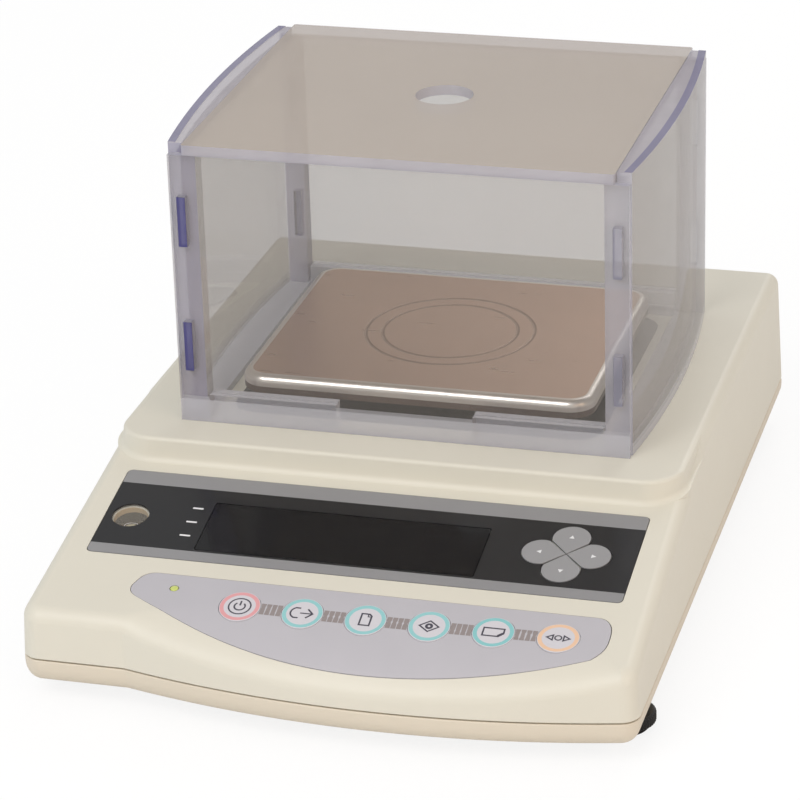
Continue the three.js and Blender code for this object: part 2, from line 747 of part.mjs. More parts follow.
// Upper cover: console, plateau and deck in one shell
function upperCover() {
    const bottomZ = partingZ + partingGap;
    const outer = casingTop(0, bottomZ, edgeSteps);
    const inner = casingTop(casingWall, bottomZ - cutOverrun, innerSteps + 1);
    const shell = shaped(outer, [], [inner]);
    const keyBoardBottomV = keyBoardTopV - keyBoardDepth;
    const added = [
        ...boardPosts(displayBoardX - displayBoardWidth / 2, displayBoardX + displayBoardWidth / 2,
            displayBoardDepth / 2, -displayBoardDepth / 2, displayBoardTopW),
        ...boardPosts(keyBoardLeftX, keyBoardRightX, keyBoardTopV, keyBoardBottomV, keyBoardTopW),
    ];
    for (const [x, y] of screwPlaces) {
        const topZ = Math.min(consoleZ(y), deckZ) - casingWall / 2;
        added.push(rod(coverPostRadius, coverPostBottomZ, topZ, coarseSides).translate(x, y, 0));
    }
    const removed = [
        onConsole(plate(roundedRectangle(displayPanelWidth + 2 * seatGap, displayPanelDepth + 2 * seatGap,
            displayPanelCorner), recessFloorW, cutOverrun)),
        panelRecess(boatShape(seatGap)),
        onConsole(plate(roundedRectangle(windowWidth + 2 * displayOpeningMargin,
            windowDepth + 2 * displayOpeningMargin, windowCorner), tubeTopW, 0), windowX, windowV),
        onConsole(rod(levelWindowRadius - displayOpeningMargin / 2, -levelVialDepth, 0, midSides),
            levelX, levelV),
    ];
    for (const frame of keyFrames) {
        removed.push(rod(stemHoleRadius, keyBoardTopW + switchHeight, cutOverrun, coarseSides).applyMatrix4(frame));
    }
    for (let lobe = 0; lobe < 4; lobe += 1) {
        const x = cursorX + petalOffset * Math.cos(lobe * Math.PI / 2);
        const v = cursorV + petalOffset * Math.sin(lobe * Math.PI / 2);
        removed.push(onConsole(rod(stemHoleRadius, keyBoardTopW + switchHeight, 0, coarseSides), x, v));
    }
    removed.push(onConsole(rod(lampRadius + seatGap * 2, keyBoardTopW + switchHeight, 0, coarseSides),
        lampX, lampV));
    const floorWidth = panWidth + 2 * (chamberFloorMargin + seatGap);
    const floorDepth = panDepth + 2 * (chamberFloorMargin + seatGap);
    const floorZ = deckZ + chamberFloorProud - chamberFloorThickness;
    removed.push(plate(roundedRectangle(floorWidth, floorDepth, panCornerRadius), floorZ, deckZ + cutOverrun)
        .translate(0, shieldCentreY, 0));
    removed.push(rod(deckBore, deckZ - casingWall - cutOverrun, deckZ, fineSides)
        .translate(0, shieldCentreY, 0));
    for (const [x, y] of screwPlaces) {
        removed.push(rod(screwShankRadius + seatGap, coverPostBottomZ - cutOverrun, screwTopZ + cutOverrun / 2,
            coarseSides).translate(x, y, 0));
    }
    const recessHeight = serialFlangeHeight + 2 * connectorRecessMargin;
    removed.push(slab(jackX - jackFlangeRadius - connectorRecessMargin,
        serialX + serialFlangeWidth / 2 + connectorRecessMargin,
        connectorSeatY, casingRearY + cutOverrun,
        connectorZ - recessHeight / 2, connectorZ + recessHeight / 2));
    removed.push(slab(serialX - serialShellWidth / 2 - seatGap, serialX + serialShellWidth / 2 + seatGap,
        connectorSeatY - casingWall - cutOverrun, casingRearY,
        connectorZ - serialShellHeight / 2 - seatGap, connectorZ + serialShellHeight / 2 + seatGap));
    removed.push(new THREE.CylinderGeometry(jackBodyRadius + seatGap, jackBodyRadius + seatGap,
        2 * (casingWall + cutOverrun), midSides).translate(jackX, connectorSeatY, connectorZ));
    return shaped(shell, added, removed);
}

// Lower tray: the rounded bottom, its tongue inside the cover, and the posts that stand in it
function lowerTray() {
    const outline = casingOutline();
    const tucked = (inset, bottomZ, rise, steps) => {
        const levels = [];
        for (let i = 0; i <= steps; i += 1) {
            const angle = i / steps * Math.PI / 2;
            levels.push([inset + trayTuck * (1 - Math.sin(angle)), bottomZ + rise * (1 - Math.cos(angle))]);
        }
        return levels;
    };
    const floorZ = trayBottomZ + casingWall;
    const level = (rearInset, levels) => endedAt(casingRearY - rearInset, levelStack(outline, levels));
    const outer = level(0, [...tucked(0, trayBottomZ, trayTuckRise, edgeSteps), [0, partingZ]]);
    const inner = level(casingWall, [
        ...tucked(casingWall, floorZ, trayTuckRise - casingWall, innerSteps),
        [casingWall, partingZ + cutOverrun],
    ]);
    const rootInset = casingWall - seatGap;
    const tongueInset = casingWall + seatGap;
    const hollowInset = tongueInset + tongueThickness;
    const root = level(rootInset, [[rootInset, partingZ - tongueRoot], [rootInset, partingZ - 2 * seatGap]]);
    const rise = level(tongueInset, [
        [rootInset, partingZ - 2 * seatGap],
        [tongueInset, partingZ - seatGap],
        [tongueInset, partingZ + tongueRise],
    ]);
    const tongue = shaped(root, [rise], [level(hollowInset, [
        [hollowInset, partingZ - tongueRoot - cutOverrun],
        [hollowInset, partingZ + tongueRise + cutOverrun],
    ])]);
    const standing = (radius, topZ, x, y, sides = coarseSides) =>
        rod(radius, floorZ - casingWall / 2, topZ, sides).translate(x, y, 0);
    const added = [tongue];
    const removed = [];
    for (const [x, y] of footPlaces) {
        added.push(standing(footBossRadius, footBossTopZ, x, y, midSides));
        removed.push(rod(footStudRadius + footStudClearance, 0, footBossTopZ + cutOverrun, midSides)
            .translate(x, y, 0));
    }
    for (const [x, y] of screwPlaces) {
        added.push(standing(screwBossRadius, screwBossTopZ, x, y));
        removed.push(rod(screwHeadRadius + seatGap, 0, screwHeadZ + screwHeadHeight, coarseSides)
            .translate(x, y, 0));
        removed.push(rod(screwShankRadius + seatGap, 0, screwBossTopZ + cutOverrun, coarseSides)
            .translate(x, y, 0));
    }
    const plateX = basePlateHalfWidth - basePlatePillarInset;
    for (const x of [-plateX, plateX]) {
        for (const y of [basePlateFrontY + basePlatePillarInset, basePlateRearY - basePlatePillarInset]) {
            added.push(standing(pillarRadius, basePlateZ, x, y));
        }
    }
    for (const x of [mainBoardLeftX + mainBoardPillarInset, mainBoardRightX - mainBoardPillarInset]) {
        for (const y of [mainBoardFrontY + mainBoardPillarInset, mainBoardRearY - mainBoardPillarInset]) {
            added.push(standing(pillarRadius, mainBoardZ, x, y));
        }
    }
    added.push(standing(levelPillarRadius, levelVialBottomZ, levelX, levelVialY));
    return shaped(shaped(outer, [], [inner]), added, removed);
}

// The level's vial stands upright under its window in the sloping panel
const levelVialY = consoleCentreY + levelV * Math.cos(consoleSlope);
const levelVialBottomZ = consoleZ(levelVialY) - levelVialDepth - levelVialHeight;

function levelVial() {
    const r = levelVialRadius;
    const h = levelVialHeight;
    const c = levelVialChamfer;
    return turned([[0, 0], [r - c, 0], [r, c], [r, h - c], [r - c, h], [0, h]], midSides);
}

// Plates let into the console
function displayPanel() {
    const shape = roundedRectangle(displayPanelWidth, displayPanelDepth, displayPanelCorner);
    const windowHole = roundedRectangle(windowWidth, windowDepth, windowCorner).getPoints(cornerSteps);
    shape.holes.push(new THREE.Path(windowHole.map((p) => new THREE.Vector2(p.x + windowX, p.y + windowV))));
    shape.holes.push(circlePath(levelX, levelV, levelWindowRadius + seatGap, midSides));
    shape.holes.push(quatrefoil(new THREE.Path(), petalRadius + seatGap));
    return plate(shape, panelBottomW, panelTopW);
}

function keyPanel() {
    const shape = boatShape(0);
    shape.holes.push(circlePath(lampX, lampV, lampRadius + seatGap, coarseSides));
    const skin = common(consolePrism(shape), casingBlock(-panelProud, partingZ, consoleZ));
    const under = casingBlock(panelThickness - panelProud, partingZ, consoleZ);
    const holeReach = (keyRadius + seatGap) / Math.cos(Math.PI / fineSides);
    const holes = keyFrames.map((frame) =>
        rod(holeReach, -chinRoundingDrop, cutOverrun, fineSides).applyMatrix4(frame));
    return shaped(skin, [], [under, ...holes]);
}

// Round key: a cap with its stem down to the switch, about its own axis, for a key that lies at an
// own height below the console's plane
function roundKey(ownDrop) {
    const capBottom = keyProud - keyCapThickness;
    const stemBottom = keyBoardTopW + switchHeight + keyTravel + keyStemClearance + ownDrop;
    return turned([
        [0, stemBottom],
        [keyStemRadius, stemBottom],
        [keyStemRadius, capBottom],
        [keyRadius, capBottom],
        [keyRadius, keyProud],
        [0, keyProud],
    ], fineSides);
}

// One petal of the cursor keys, pointing along +X from the middle of the four
function petalKey() {
    const shape = new THREE.Shape();
    shape.moveTo(petalTip, 0);
    shape.absarc(petalOffset, 0, petalRadius, -petalArcAngle, petalArcAngle);
    const cap = plate(shape, keyProud - keyCapThickness, keyProud);
    const stemBottom = keyBoardTopW + switchHeight + keyTravel + keyStemClearance;
    const stem = rod(keyStemRadius, stemBottom, keyProud - keyCapThickness / 2, coarseSides);
    return shaped(cap, [stem.translate(petalOffset, 0, 0)]);
}

// A board with its low square switches
function switchBoard(width, depth, boardTopW, switchTopW, places) {
    const board = slab(-width / 2, width / 2, -depth / 2, depth / 2, boardTopW - boardThickness, boardTopW);
    const half = switchWidth / 2;
    const switches = places.map(([x, v]) =>
        slab(x - half, x + half, v - half, v + half, boardTopW - boardThickness / 2, switchTopW));
    return shaped(board, switches);
}

function statusLamp() {
    return turned([
        [0, keyBoardTopW + seatGap],
        [lampRadius, keyBoardTopW + seatGap],
        [lampRadius, 0],
        [lampRadius * Math.SQRT1_2, lampProud * Math.SQRT1_2],
        [0, lampProud],
    ], coarseSides);
}

// Chamber floor and pan
function chamberFloor() {
    const width = panWidth + 2 * chamberFloorMargin;
    const depth = panDepth + 2 * chamberFloorMargin;
    const shape = roundedRectangle(width, depth, panCornerRadius);
    shape.holes.push(circlePath(0, 0, chamberFloorBore, midSides));
    return plate(shape, 0, chamberFloorThickness);
}

function weighingPan() {
    const halfDepth = panDepth / 2;
    const outline = rectangleOutline(panWidth / 2, -halfDepth, halfDepth, panCornerRadius);
    const rounded = (inset, topZ, radius) => {
        const levels = [];
        for (let i = 0; i <= edgeSteps; i += 1) {
            const angle = i / edgeSteps * Math.PI / 2;
            levels.push([inset + radius * (1 - Math.cos(angle)), topZ - radius * (1 - Math.sin(angle))]);
        }
        return levels;
    };
    const outer = levelStack(outline, [[0, -panSkirt], ...rounded(0, 0, panEdgeRadius)]);
    const inner = levelStack(outline, [
        [panSheet, -panSkirt - cutOverrun], ...rounded(panSheet, -panSheet, panEdgeRadius - panSheet)]);
    const grooves = ringRadii.map((radius) => turned([
        [radius - ringGrooveWidth / 2, ringGrooveDepth],
        [radius, -ringGrooveDepth],
        [radius + ringGrooveWidth / 2, ringGrooveDepth],
        [radius - ringGrooveWidth / 2, ringGrooveDepth],
    ], fineSides + cornerSteps));
    return shaped(outer, [], [inner, ...grooves]);
}

// Pan spider: a hub with four arms to the cushions, hollow under the hub for the carrier's shaft
function panSpider() {
    const reach = Math.hypot(cushionX, cushionY);
    const angle = Math.atan2(cushionY, cushionX);
    const half = spiderArmWidth / 2;
    const arms = [];
    for (const turn of [angle, Math.PI - angle]) {
        const arm = slab(-reach, reach, -half, half, 0, spiderThickness);
        arms.push(arm.rotateZ(turn));
        for (const side of [-1, 1]) {
            arms.push(rod(spiderArmWidth * spiderEndShare, 0, spiderThickness, coarseSides)
                .translate(side * reach * Math.cos(turn), side * reach * Math.sin(turn), 0));
        }
    }
    const hub = rod(spiderHubRadius, 0, spiderThickness, midSides);
    const socket = rod(spiderSocketRadius, -cutOverrun, spiderSocketDepth, midSides);
    return shaped(hub, arms, [socket]);
}

// Wind shield, about its own middle on the deck
const shieldArcRadius = (shieldHalfDepth ** 2 + shieldBow ** 2) / (2 * shieldBow);
const shieldArcX = shieldHalfWidth + shieldBow - shieldArcRadius;
const shieldWallEndY = shieldHalfDepth - paneThickness - liftGap;
const paneTopZ = shieldHeight - lidThickness - liftGap;

// Plan of the right-hand side pane between its bowed outer face and an inner face
function bowedPlan(innerPoints) {
    const shape = new THREE.Shape();
    const end = Math.asin(shieldWallEndY / shieldArcRadius);
    shape.absarc(shieldArcX, 0, shieldArcRadius, -end, end);
    innerPoints.forEach(([x, y]) => shape.lineTo(x, y));
    return shape;
}

function bowedPlate(innerPoints, z0, z1) {
    return plate(bowedPlan(innerPoints), z0, z1, chinSteps / 2);
}

function shieldSide(side) {
    const innerArc = [];
    const innerRadius = shieldArcRadius - paneThickness;
    for (let i = 0; i <= chinSteps; i += 1) {
        const y = shieldWallEndY * (1 - 2 * i / chinSteps);
        innerArc.push([shieldArcX + Math.sqrt(innerRadius ** 2 - y ** 2), y]);
    }
    const straight = (x) => [[x, shieldWallEndY], [x, -shieldWallEndY]];
    const wall = bowedPlate(innerArc, 0, shieldHeight);
    const ledgeZ = shieldHeight - lidThickness;
    const added = [
        bowedPlate(straight(lidHalfWidth + seatGap), ledgeZ, shieldHeight),
        bowedPlate(straight(flangeInnerX), 0, flangeThickness),
    ];
    for (const end of [-1, 1]) {
        const y = [end * shieldWallEndY, end * (shieldWallEndY - postDepth)].sort((a, b) => a - b);
        added.push(slab(shieldHalfWidth - postWidth, shieldHalfWidth, y[0], y[1], 0, ledgeZ));
        for (const height of tabHeights) {
            const tab = [end * shieldHalfDepth, end * (shieldWallEndY - postDepth / 2)].sort((a, b) => a - b);
            added.push(slab(tabX - tabWidth / 2, tabX + tabWidth / 2, tab[0], tab[1],
                height - tabHeight / 2, height + tabHeight / 2));
        }
    }
    const right = shaped(wall, added);
    return side > 0 ? right : geometryOf(solidOf(right.scale(-1, 1, 1)));
}

// Front or rear pane with its rails on the inside, which is toward +Y here
function shieldPane(railSpans) {
    const pane = slab(-shieldHalfWidth, shieldHalfWidth, 0, paneThickness, 0, paneTopZ);
    const added = [];
    const removed = [];
    for (const [x0, x1] of railSpans) {
        const inside = paneThickness + railDepth;
        added.push(slab(x0, x1, paneThickness / 2, inside, 0, railHeight));
        removed.push(slab(x0 - cutOverrun, x1 + cutOverrun, inside - railGroove, inside + cutOverrun,
            (railHeight - railGroove) / 2, (railHeight + railGroove) / 2));
        removed.push(slab(x0 - cutOverrun, x1 + cutOverrun,
            (paneThickness + inside - railGroove) / 2, (paneThickness + inside + railGroove) / 2,
            railHeight - railGroove, railHeight + cutOverrun));
    }
    for (const x of [-tabX, tabX]) {
        const half = tabWidth / 2 + liftGap;
        for (const height of tabHeights) {
            removed.push(slab(x - half, x + half, -cutOverrun, paneThickness + cutOverrun,
                height - tabHeight / 2 - liftGap, height + tabHeight / 2 + liftGap));
        }
    }
    return shaped(pane, added, removed);
}

function shieldLid() {
    const shape = roundedRectangle(2 * lidHalfWidth, 2 * shieldHalfDepth, smallestRadius);
    shape.holes.push(circlePath(0, 0, lidHoleRadius, fineSides));
    return plate(shape, 0, lidThickness);
}

// Feet
function footWheel() {
    const r = footWheelRadius;
    const c = footWheelChamfer;
    const top = footWheelZ + footWheelThickness;
    return turned([
        [0, footWheelZ],
        [r - c, footWheelZ],
        [r, footWheelZ + c],
        [r, top - c],
        [r - c, top],
        [footStudRadius, top],
        [footStudRadius, footStudTopZ],
        [0, footStudTopZ],
    ], midSides);
}

function footPad() {
    const r = footPadRadius;
    return turned([
        [0, 0], [r - footPadEdge, 0], [r, footPadEdge], [r, footPadHeight], [0, footPadHeight],
    ], midSides);
}

function coverScrew() {
    const neck = screwHeadZ + screwHeadHeight - liftGap;
    return turned([
        [0, screwHeadZ], [screwHeadRadius, screwHeadZ], [screwHeadRadius, neck],
        [screwShankRadius, neck], [screwShankRadius, screwTopZ], [0, screwTopZ],
    ], coarseSides);
}

// Weighing mechanism: two guide plates hold the carrier upright, the lever passes the load on
const frameBottomZ = basePlateZ + basePlateThickness;
const frameFootTopZ = frameBottomZ + frameFootThickness;
const pivotZ = leverBottomZ + leverThickness / 2;
const earInnerX = leverHalfWidth + seatGap;
const earOuterX = earInnerX + earThickness;

function weighFrame() {
    const half = mechanismHalfWidth;
    const body = profiled([
        [frameFrontY, frameBottomZ], [frameRearY, frameBottomZ], [frameRearY, postTopZ],
        [postFrontY, postTopZ], [postFrontY, ledgeTopZ], [ledgeFrontY, ledgeTopZ],
        [ledgeFrontY, frameFootTopZ], [frameFrontY, frameFootTopZ],
    ], -half, half);
    const ears = [-1, 1].map((side) => {
        const x = [side * earInnerX, side * earOuterX].sort((a, b) => a - b);
        return slab(x[0], x[1], leverPivotY - earHalfDepth, leverPivotY + earHalfDepth,
            frameFootTopZ - seatGap, pivotZ + earHalfDepth);
    });
    const bore = rod(pivotPinRadius + pivotBoreClearance, -half, half, coarseSides)
        .rotateY(Math.PI / 2)
        .translate(0, leverPivotY, pivotZ);
    const stopBore = rod(stopScrewRadius + liftGap, frameBottomZ - cutOverrun, postTopZ, coarseSides)
        .translate(0, (carrierFrontY + carrierRearY) / 2, 0);
    return shaped(body, ears, [bore, stopBore]);
}

function guidePlate(rearY, bottomZ) {
    const window = guideWindowHalfWidth;
    const half = mechanismHalfWidth;
    const sheet = slab(-half, half, guideFrontY, rearY, bottomZ, bottomZ + guideThickness);
    const hole = slab(-window, window, guideWindowFrontY, guideWindowRearY,
        bottomZ - cutOverrun, bottomZ + cutOverrun);
    return shaped(sheet, [], [hole]);
}

function loadCarrier() {
    const half = carrierHalfWidth;
    const column = slab(-half, half, carrierFrontY, carrierRearY, carrierBottomZ, postTopZ);
    const ledge = (rearY, topZ) => slab(-half, half, carrierRearY - seatGap, rearY,
        topZ - carrierLedgeThickness, topZ);
    const shaftTopZ = spiderZ + spiderSocketDepth - seatGap;
    const shaft = rod(carrierShaftRadius, postTopZ - casingWall, shaftTopZ, midSides)
        .translate(0, shieldCentreY, 0);
    return shaped(column, [
        ledge(lowerLedgeRearY, ledgeTopZ - liftGap),
        ledge(upperLedgeRearY, postTopZ - liftGap),
        shaft,
    ]);
}

// Link between the carrier's lower ledge and the long end of the lever
function leverLink() {
    return slab(-linkWidth / 2, linkWidth / 2, linkY - linkThickness / 2, linkY + linkThickness / 2,
        ledgeTopZ - liftGap, leverBottomZ - liftGap);
}

function loadLever() {
    const beam = slab(-leverHalfWidth, leverHalfWidth, leverFrontY, leverRearY,
        leverBottomZ, leverBottomZ + leverThickness);
    const bore = rod(pivotPinRadius + pivotBoreClearance, -mechanismHalfWidth, mechanismHalfWidth, coarseSides)
        .rotateY(Math.PI / 2)
        .translate(0, leverPivotY, pivotZ);
    return shaped(beam, [], [bore]);
}

// Tuning fork: two tines between yokes, standing under the short end of the lever
function tuningFork() {
    const bottom = ledgeTopZ;
    const top = leverBottomZ - seatGap;
    const half = forkWidth / 2;
    const body = slab(-half, half, forkY - forkThickness / 2, forkY + forkThickness / 2, bottom, top);
    const slotHalf = half - forkTineWidth;
    const slot = slab(-slotHalf, slotHalf, forkY - forkThickness, forkY + forkThickness,
        bottom + forkYokeHeight, top - forkYokeHeight);
    return shaped(body, [], [slot]);
}

function mainBoard() {
    const width = mainBoardRightX - mainBoardLeftX;
    const depth = mainBoardRearY - mainBoardFrontY;
    const board = slab(mainBoardLeftX, mainBoardRightX, mainBoardFrontY, mainBoardRearY,
        mainBoardZ, mainBoardZ + boardThickness);
    const chips = chipShares.map(([xShare, yShare, widthShare, depthShare]) => {
        const x = mainBoardLeftX + xShare * width;
        const y = mainBoardFrontY + yShare * depth;
        return slab(x - widthShare * width / 2, x + widthShare * width / 2,
            y - depthShare * depth / 2, y + depthShare * depth / 2,
            mainBoardZ + boardThickness / 2, mainBoardZ + boardThickness + chipHeight);
    });
    return shaped(board, chips);
}

// Rear connectors, facing +Y from their seat
function serialSocket() {
    const flange = slab(-serialFlangeWidth / 2, serialFlangeWidth / 2, 0, serialFlangeThickness,
        -serialFlangeHeight / 2, serialFlangeHeight / 2);
    const outlineOf = (inset) => {
        const top = serialShellWidth / 2 - inset;
        const bottom = top - serialShellTaper;
        const half = serialShellHeight / 2 - inset;
        return new THREE.Shape([
            new THREE.Vector2(-bottom, -half), new THREE.Vector2(bottom, -half),
            new THREE.Vector2(top, half), new THREE.Vector2(-top, half),
        ]);
    };
    const reach = serialReach;
    const faceRear = (geometry) => geometry.rotateX(Math.PI / 2);
    const shell = faceRear(plate(outlineOf(0), -reach, 0));
    const hollow = faceRear(plate(outlineOf(serialShellWall), -reach - cutOverrun, -serialFlangeThickness));
    const insert = slab(-serialPinWidth / 2, serialPinWidth / 2, 0, reach - serialFlangeThickness,
        -serialPinHeight / 2, serialPinHeight / 2);
    const body = slab(-serialShellWidth / 2, serialShellWidth / 2, -serialBodyDepth, serialFlangeThickness / 2,
        -serialShellHeight / 2, serialShellHeight / 2);
    const tube = shaped(shell, [], [hollow]);
    return shaped(flange, [tube, insert, body]);
}

function powerJack() {
    const flangeTop = jackFlangeThickness + seatGap;
    return turned([
        [0, -jackBodyDepth],
        [jackBodyRadius, -jackBodyDepth],
        [jackBodyRadius, seatGap],
        [jackFlangeRadius, seatGap],
        [jackFlangeRadius, flangeTop],
        [jackBoreRadius, flangeTop],
        [jackBoreRadius, flangeTop - jackBoreDepth],
        [jackPinRadius, flangeTop - jackBoreDepth],
        [jackPinRadius, flangeTop - jackFlangeThickness],
        [0, flangeTop - jackFlangeThickness],
    ], coarseSides).rotateX(-Math.PI / 2);
}

// Assembly
const balance = new THREE.Group();

function place(parent, name, geometry, material, x = 0, y = 0, z = 0) {
    const mesh = new THREE.Mesh(geometry, material);
    mesh.name = name;
    mesh.position.set(x, y, z);
    parent.add(mesh);
    return mesh;
}

place(balance, 'upper_cover', upperCover(), casingPlastic);
place(balance, 'lower_tray', lowerTray(), trayPlastic);
place(balance, 'level_vial', levelVial(), vialGlass, levelX, levelVialY, levelVialBottomZ);

const consoleGroup = new THREE.Group();
consoleGroup.applyMatrix4(consoleFrame);
balance.add(consoleGroup);
place(consoleGroup, 'display_panel', displayPanel(), darkPanel);
place(consoleGroup, 'display_window', plate(roundedRectangle(windowWidth - 2 * seatGap, windowDepth - 2 * seatGap,
    windowCorner), 0, windowThickness), darkGlass, windowX, windowV, panelBottomW);
place(consoleGroup, 'display_tube', slab(-tubeWidth / 2, tubeWidth / 2, -tubeDepth / 2, tubeDepth / 2,
    -tubeThickness, 0), tubeGlass, windowX, windowV, tubeTopW);
place(consoleGroup, 'display_board', switchBoard(displayBoardWidth, displayBoardDepth, displayBoardTopW,
    keyBoardTopW + switchHeight, [0, 1, 2, 3].map((lobe) => [
        cursorX - displayBoardX + petalOffset * Math.cos(lobe * Math.PI / 2),
        cursorV + petalOffset * Math.sin(lobe * Math.PI / 2),
    ])), circuitBoard, displayBoardX);
place(consoleGroup, 'level_window', rod(levelWindowRadius, 0, levelWindowThickness, midSides), darkGlass,
    levelX, levelV, panelBottomW);
['right', 'up', 'left', 'down'].forEach((direction, lobe) => {
    const key = place(consoleGroup, `cursor_key_${direction}`, petalKey(), greyKey, cursorX, cursorV);
    key.rotation.z = lobe * Math.PI / 2;
});
place(balance, 'key_panel', keyPanel(), lilacPanel);
keyFrames.forEach((frame, i) => {
    const key = place(balance, `function_key_${i + 1}`, roundKey(-keyPlaces[i].z), keyFilm);
    key.applyMatrix4(frame);
});
place(consoleGroup, 'status_lamp', statusLamp(), lampGreen, lampX, lampV);
const keyBoardX = (keyBoardLeftX + keyBoardRightX) / 2;
const keyBoardV = keyBoardTopV - keyBoardDepth / 2;
place(consoleGroup, 'key_board', switchBoard(keyBoardRightX - keyBoardLeftX, keyBoardDepth, keyBoardTopW,
    keyBoardTopW + switchHeight, keyPlaces.map((p) => [p.x - keyBoardX, p.y - keyBoardV])),
    circuitBoard, keyBoardX, keyBoardV);

const panTopZ = deckZ + panHeight;
const cushionTopZ = panTopZ - panSheet - liftGap;
const spiderTopZ = cushionTopZ - cushionHeight;
const spiderZ = spiderTopZ - spiderThickness;
place(balance, 'chamber_floor', chamberFloor(), blackPlastic,
    0, shieldCentreY, deckZ + chamberFloorProud - chamberFloorThickness);
place(balance, 'weighing_pan', weighingPan(), steel, 0, shieldCentreY, panTopZ);
place(balance, 'pan_spider', panSpider(), castMetal, 0, shieldCentreY, spiderZ);
[[-1, -1], [1, -1], [-1, 1], [1, 1]].forEach(([sideX, sideY], i) => {
    place(balance, `pan_cushion_${i + 1}`, rod(cushionRadius, 0, cushionHeight, coarseSides), blackRubber,
        sideX * cushionX, shieldCentreY + sideY * cushionY, spiderTopZ);
});

const shield = new THREE.Group();
shield.position.set(0, shieldCentreY, deckZ + liftGap);
balance.add(shield);
const railOuterX = flangeInnerX - seatGap;
place(shield, 'shield_front', shieldPane([[-railOuterX, -railInnerX], [railInnerX, railOuterX]]), acrylic,
    0, -shieldHalfDepth);
const rearPane = place(shield, 'shield_rear', shieldPane([[-railOuterX, railOuterX]]), acrylic,
    0, shieldHalfDepth);
rearPane.rotation.z = Math.PI;
place(shield, 'shield_left', shieldSide(-1), acrylic);
place(shield, 'shield_right', shieldSide(1), acrylic);
place(shield, 'shield_lid', shieldLid(), acrylic, 0, 0, shieldHeight - lidThickness);

footPlaces.forEach(([x, y], i) => {
    place(balance, `foot_pad_${i + 1}`, footPad(), blackRubber, x, y);
    place(balance, `foot_wheel_${i + 1}`, footWheel(), blackPlastic, x, y);
});
screwPlaces.forEach(([x, y], i) => place(balance, `cover_screw_${i + 1}`, coverScrew(), screwMetal, x, y));

place(balance, 'base_plate', plate(roundedRectangle(2 * basePlateHalfWidth, basePlateRearY - basePlateFrontY,
    basePlateCorner), 0, basePlateThickness), castMetal, 0, (basePlateFrontY + basePlateRearY) / 2, basePlateZ);
place(balance, 'weigh_frame', weighFrame(), castMetal);
place(balance, 'guide_plate_lower', guidePlate(postFrontY - seatGap, ledgeTopZ), springMetal);
place(balance, 'guide_plate_upper', guidePlate(frameRearY, postTopZ), springMetal);
place(balance, 'load_carrier', loadCarrier(), castMetal);
place(balance, 'lever_link', leverLink(), springMetal);
place(balance, 'load_lever', loadLever(), castMetal);
place(balance, 'lever_pivot_pin', rod(pivotPinRadius, -earOuterX, earOuterX, coarseSides)
    .rotateY(Math.PI / 2), screwMetal, 0, leverPivotY, pivotZ);
place(balance, 'tuning_fork', tuningFork(), springMetal);
place(balance, 'overload_stop_screw', rod(stopScrewRadius, frameBottomZ, carrierBottomZ - stopTravel,
    coarseSides), screwMetal, 0, (carrierFrontY + carrierRearY) / 2);
place(balance, 'sensor_board', slab(-sensorBoardHalfWidth, sensorBoardHalfWidth, 0, boardThickness,
    sensorBoardBottomZ, sensorBoardTopZ), circuitBoard, 0, frameRearY + seatGap);
place(balance, 'main_board', mainBoard(), circuitBoard);
place(balance, 'serial_socket', serialSocket(), screwMetal, serialX, connectorSeatY, connectorZ);
place(balance, 'power_jack', powerJack(), blackPlastic, jackX, connectorSeatY, connectorZ);

export default balance;
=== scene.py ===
"""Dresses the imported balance, and sets its camera, floor and light."""

import json
from math import asin, atan, atan2, cos, pi, radians, sin, sqrt, tan

import bmesh
import bpy
from mathutils import Matrix, Vector
from mathutils.bvhtree import BVHTree
from mathutils.geometry import tessellate_polygon


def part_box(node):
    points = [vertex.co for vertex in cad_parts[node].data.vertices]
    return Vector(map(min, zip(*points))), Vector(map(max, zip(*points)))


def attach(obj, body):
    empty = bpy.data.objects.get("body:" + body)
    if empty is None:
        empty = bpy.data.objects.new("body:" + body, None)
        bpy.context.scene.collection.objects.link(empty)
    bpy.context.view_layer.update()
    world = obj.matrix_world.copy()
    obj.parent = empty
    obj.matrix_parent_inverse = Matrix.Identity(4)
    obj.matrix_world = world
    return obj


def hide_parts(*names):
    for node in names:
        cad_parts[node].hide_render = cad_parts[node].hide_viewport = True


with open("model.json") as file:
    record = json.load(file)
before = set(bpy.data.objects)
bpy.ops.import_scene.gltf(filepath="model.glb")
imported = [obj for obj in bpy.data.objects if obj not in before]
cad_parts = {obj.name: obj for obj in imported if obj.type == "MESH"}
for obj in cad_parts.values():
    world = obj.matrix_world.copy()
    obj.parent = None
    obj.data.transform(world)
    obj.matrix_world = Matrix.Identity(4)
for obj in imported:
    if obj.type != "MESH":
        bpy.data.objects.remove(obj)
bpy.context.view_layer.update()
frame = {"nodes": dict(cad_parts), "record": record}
MM = 0.001
UPRIGHT = Matrix(((1, 0, 0, 0), (0, 0, 1, 0), (0, 1, 0, 0), (0, 0, 0, 1)))
shift = Matrix.Translation

# Camera, solved from the photograph's corners (millimetres and degrees)
AZIMUTH, ELEVATION, ROLL = 16.05, 23.94, -1.78
TARGET = Vector((-20.80, 36.05, 48.48))
DISTANCE = 1441.24
LENS = 161.46

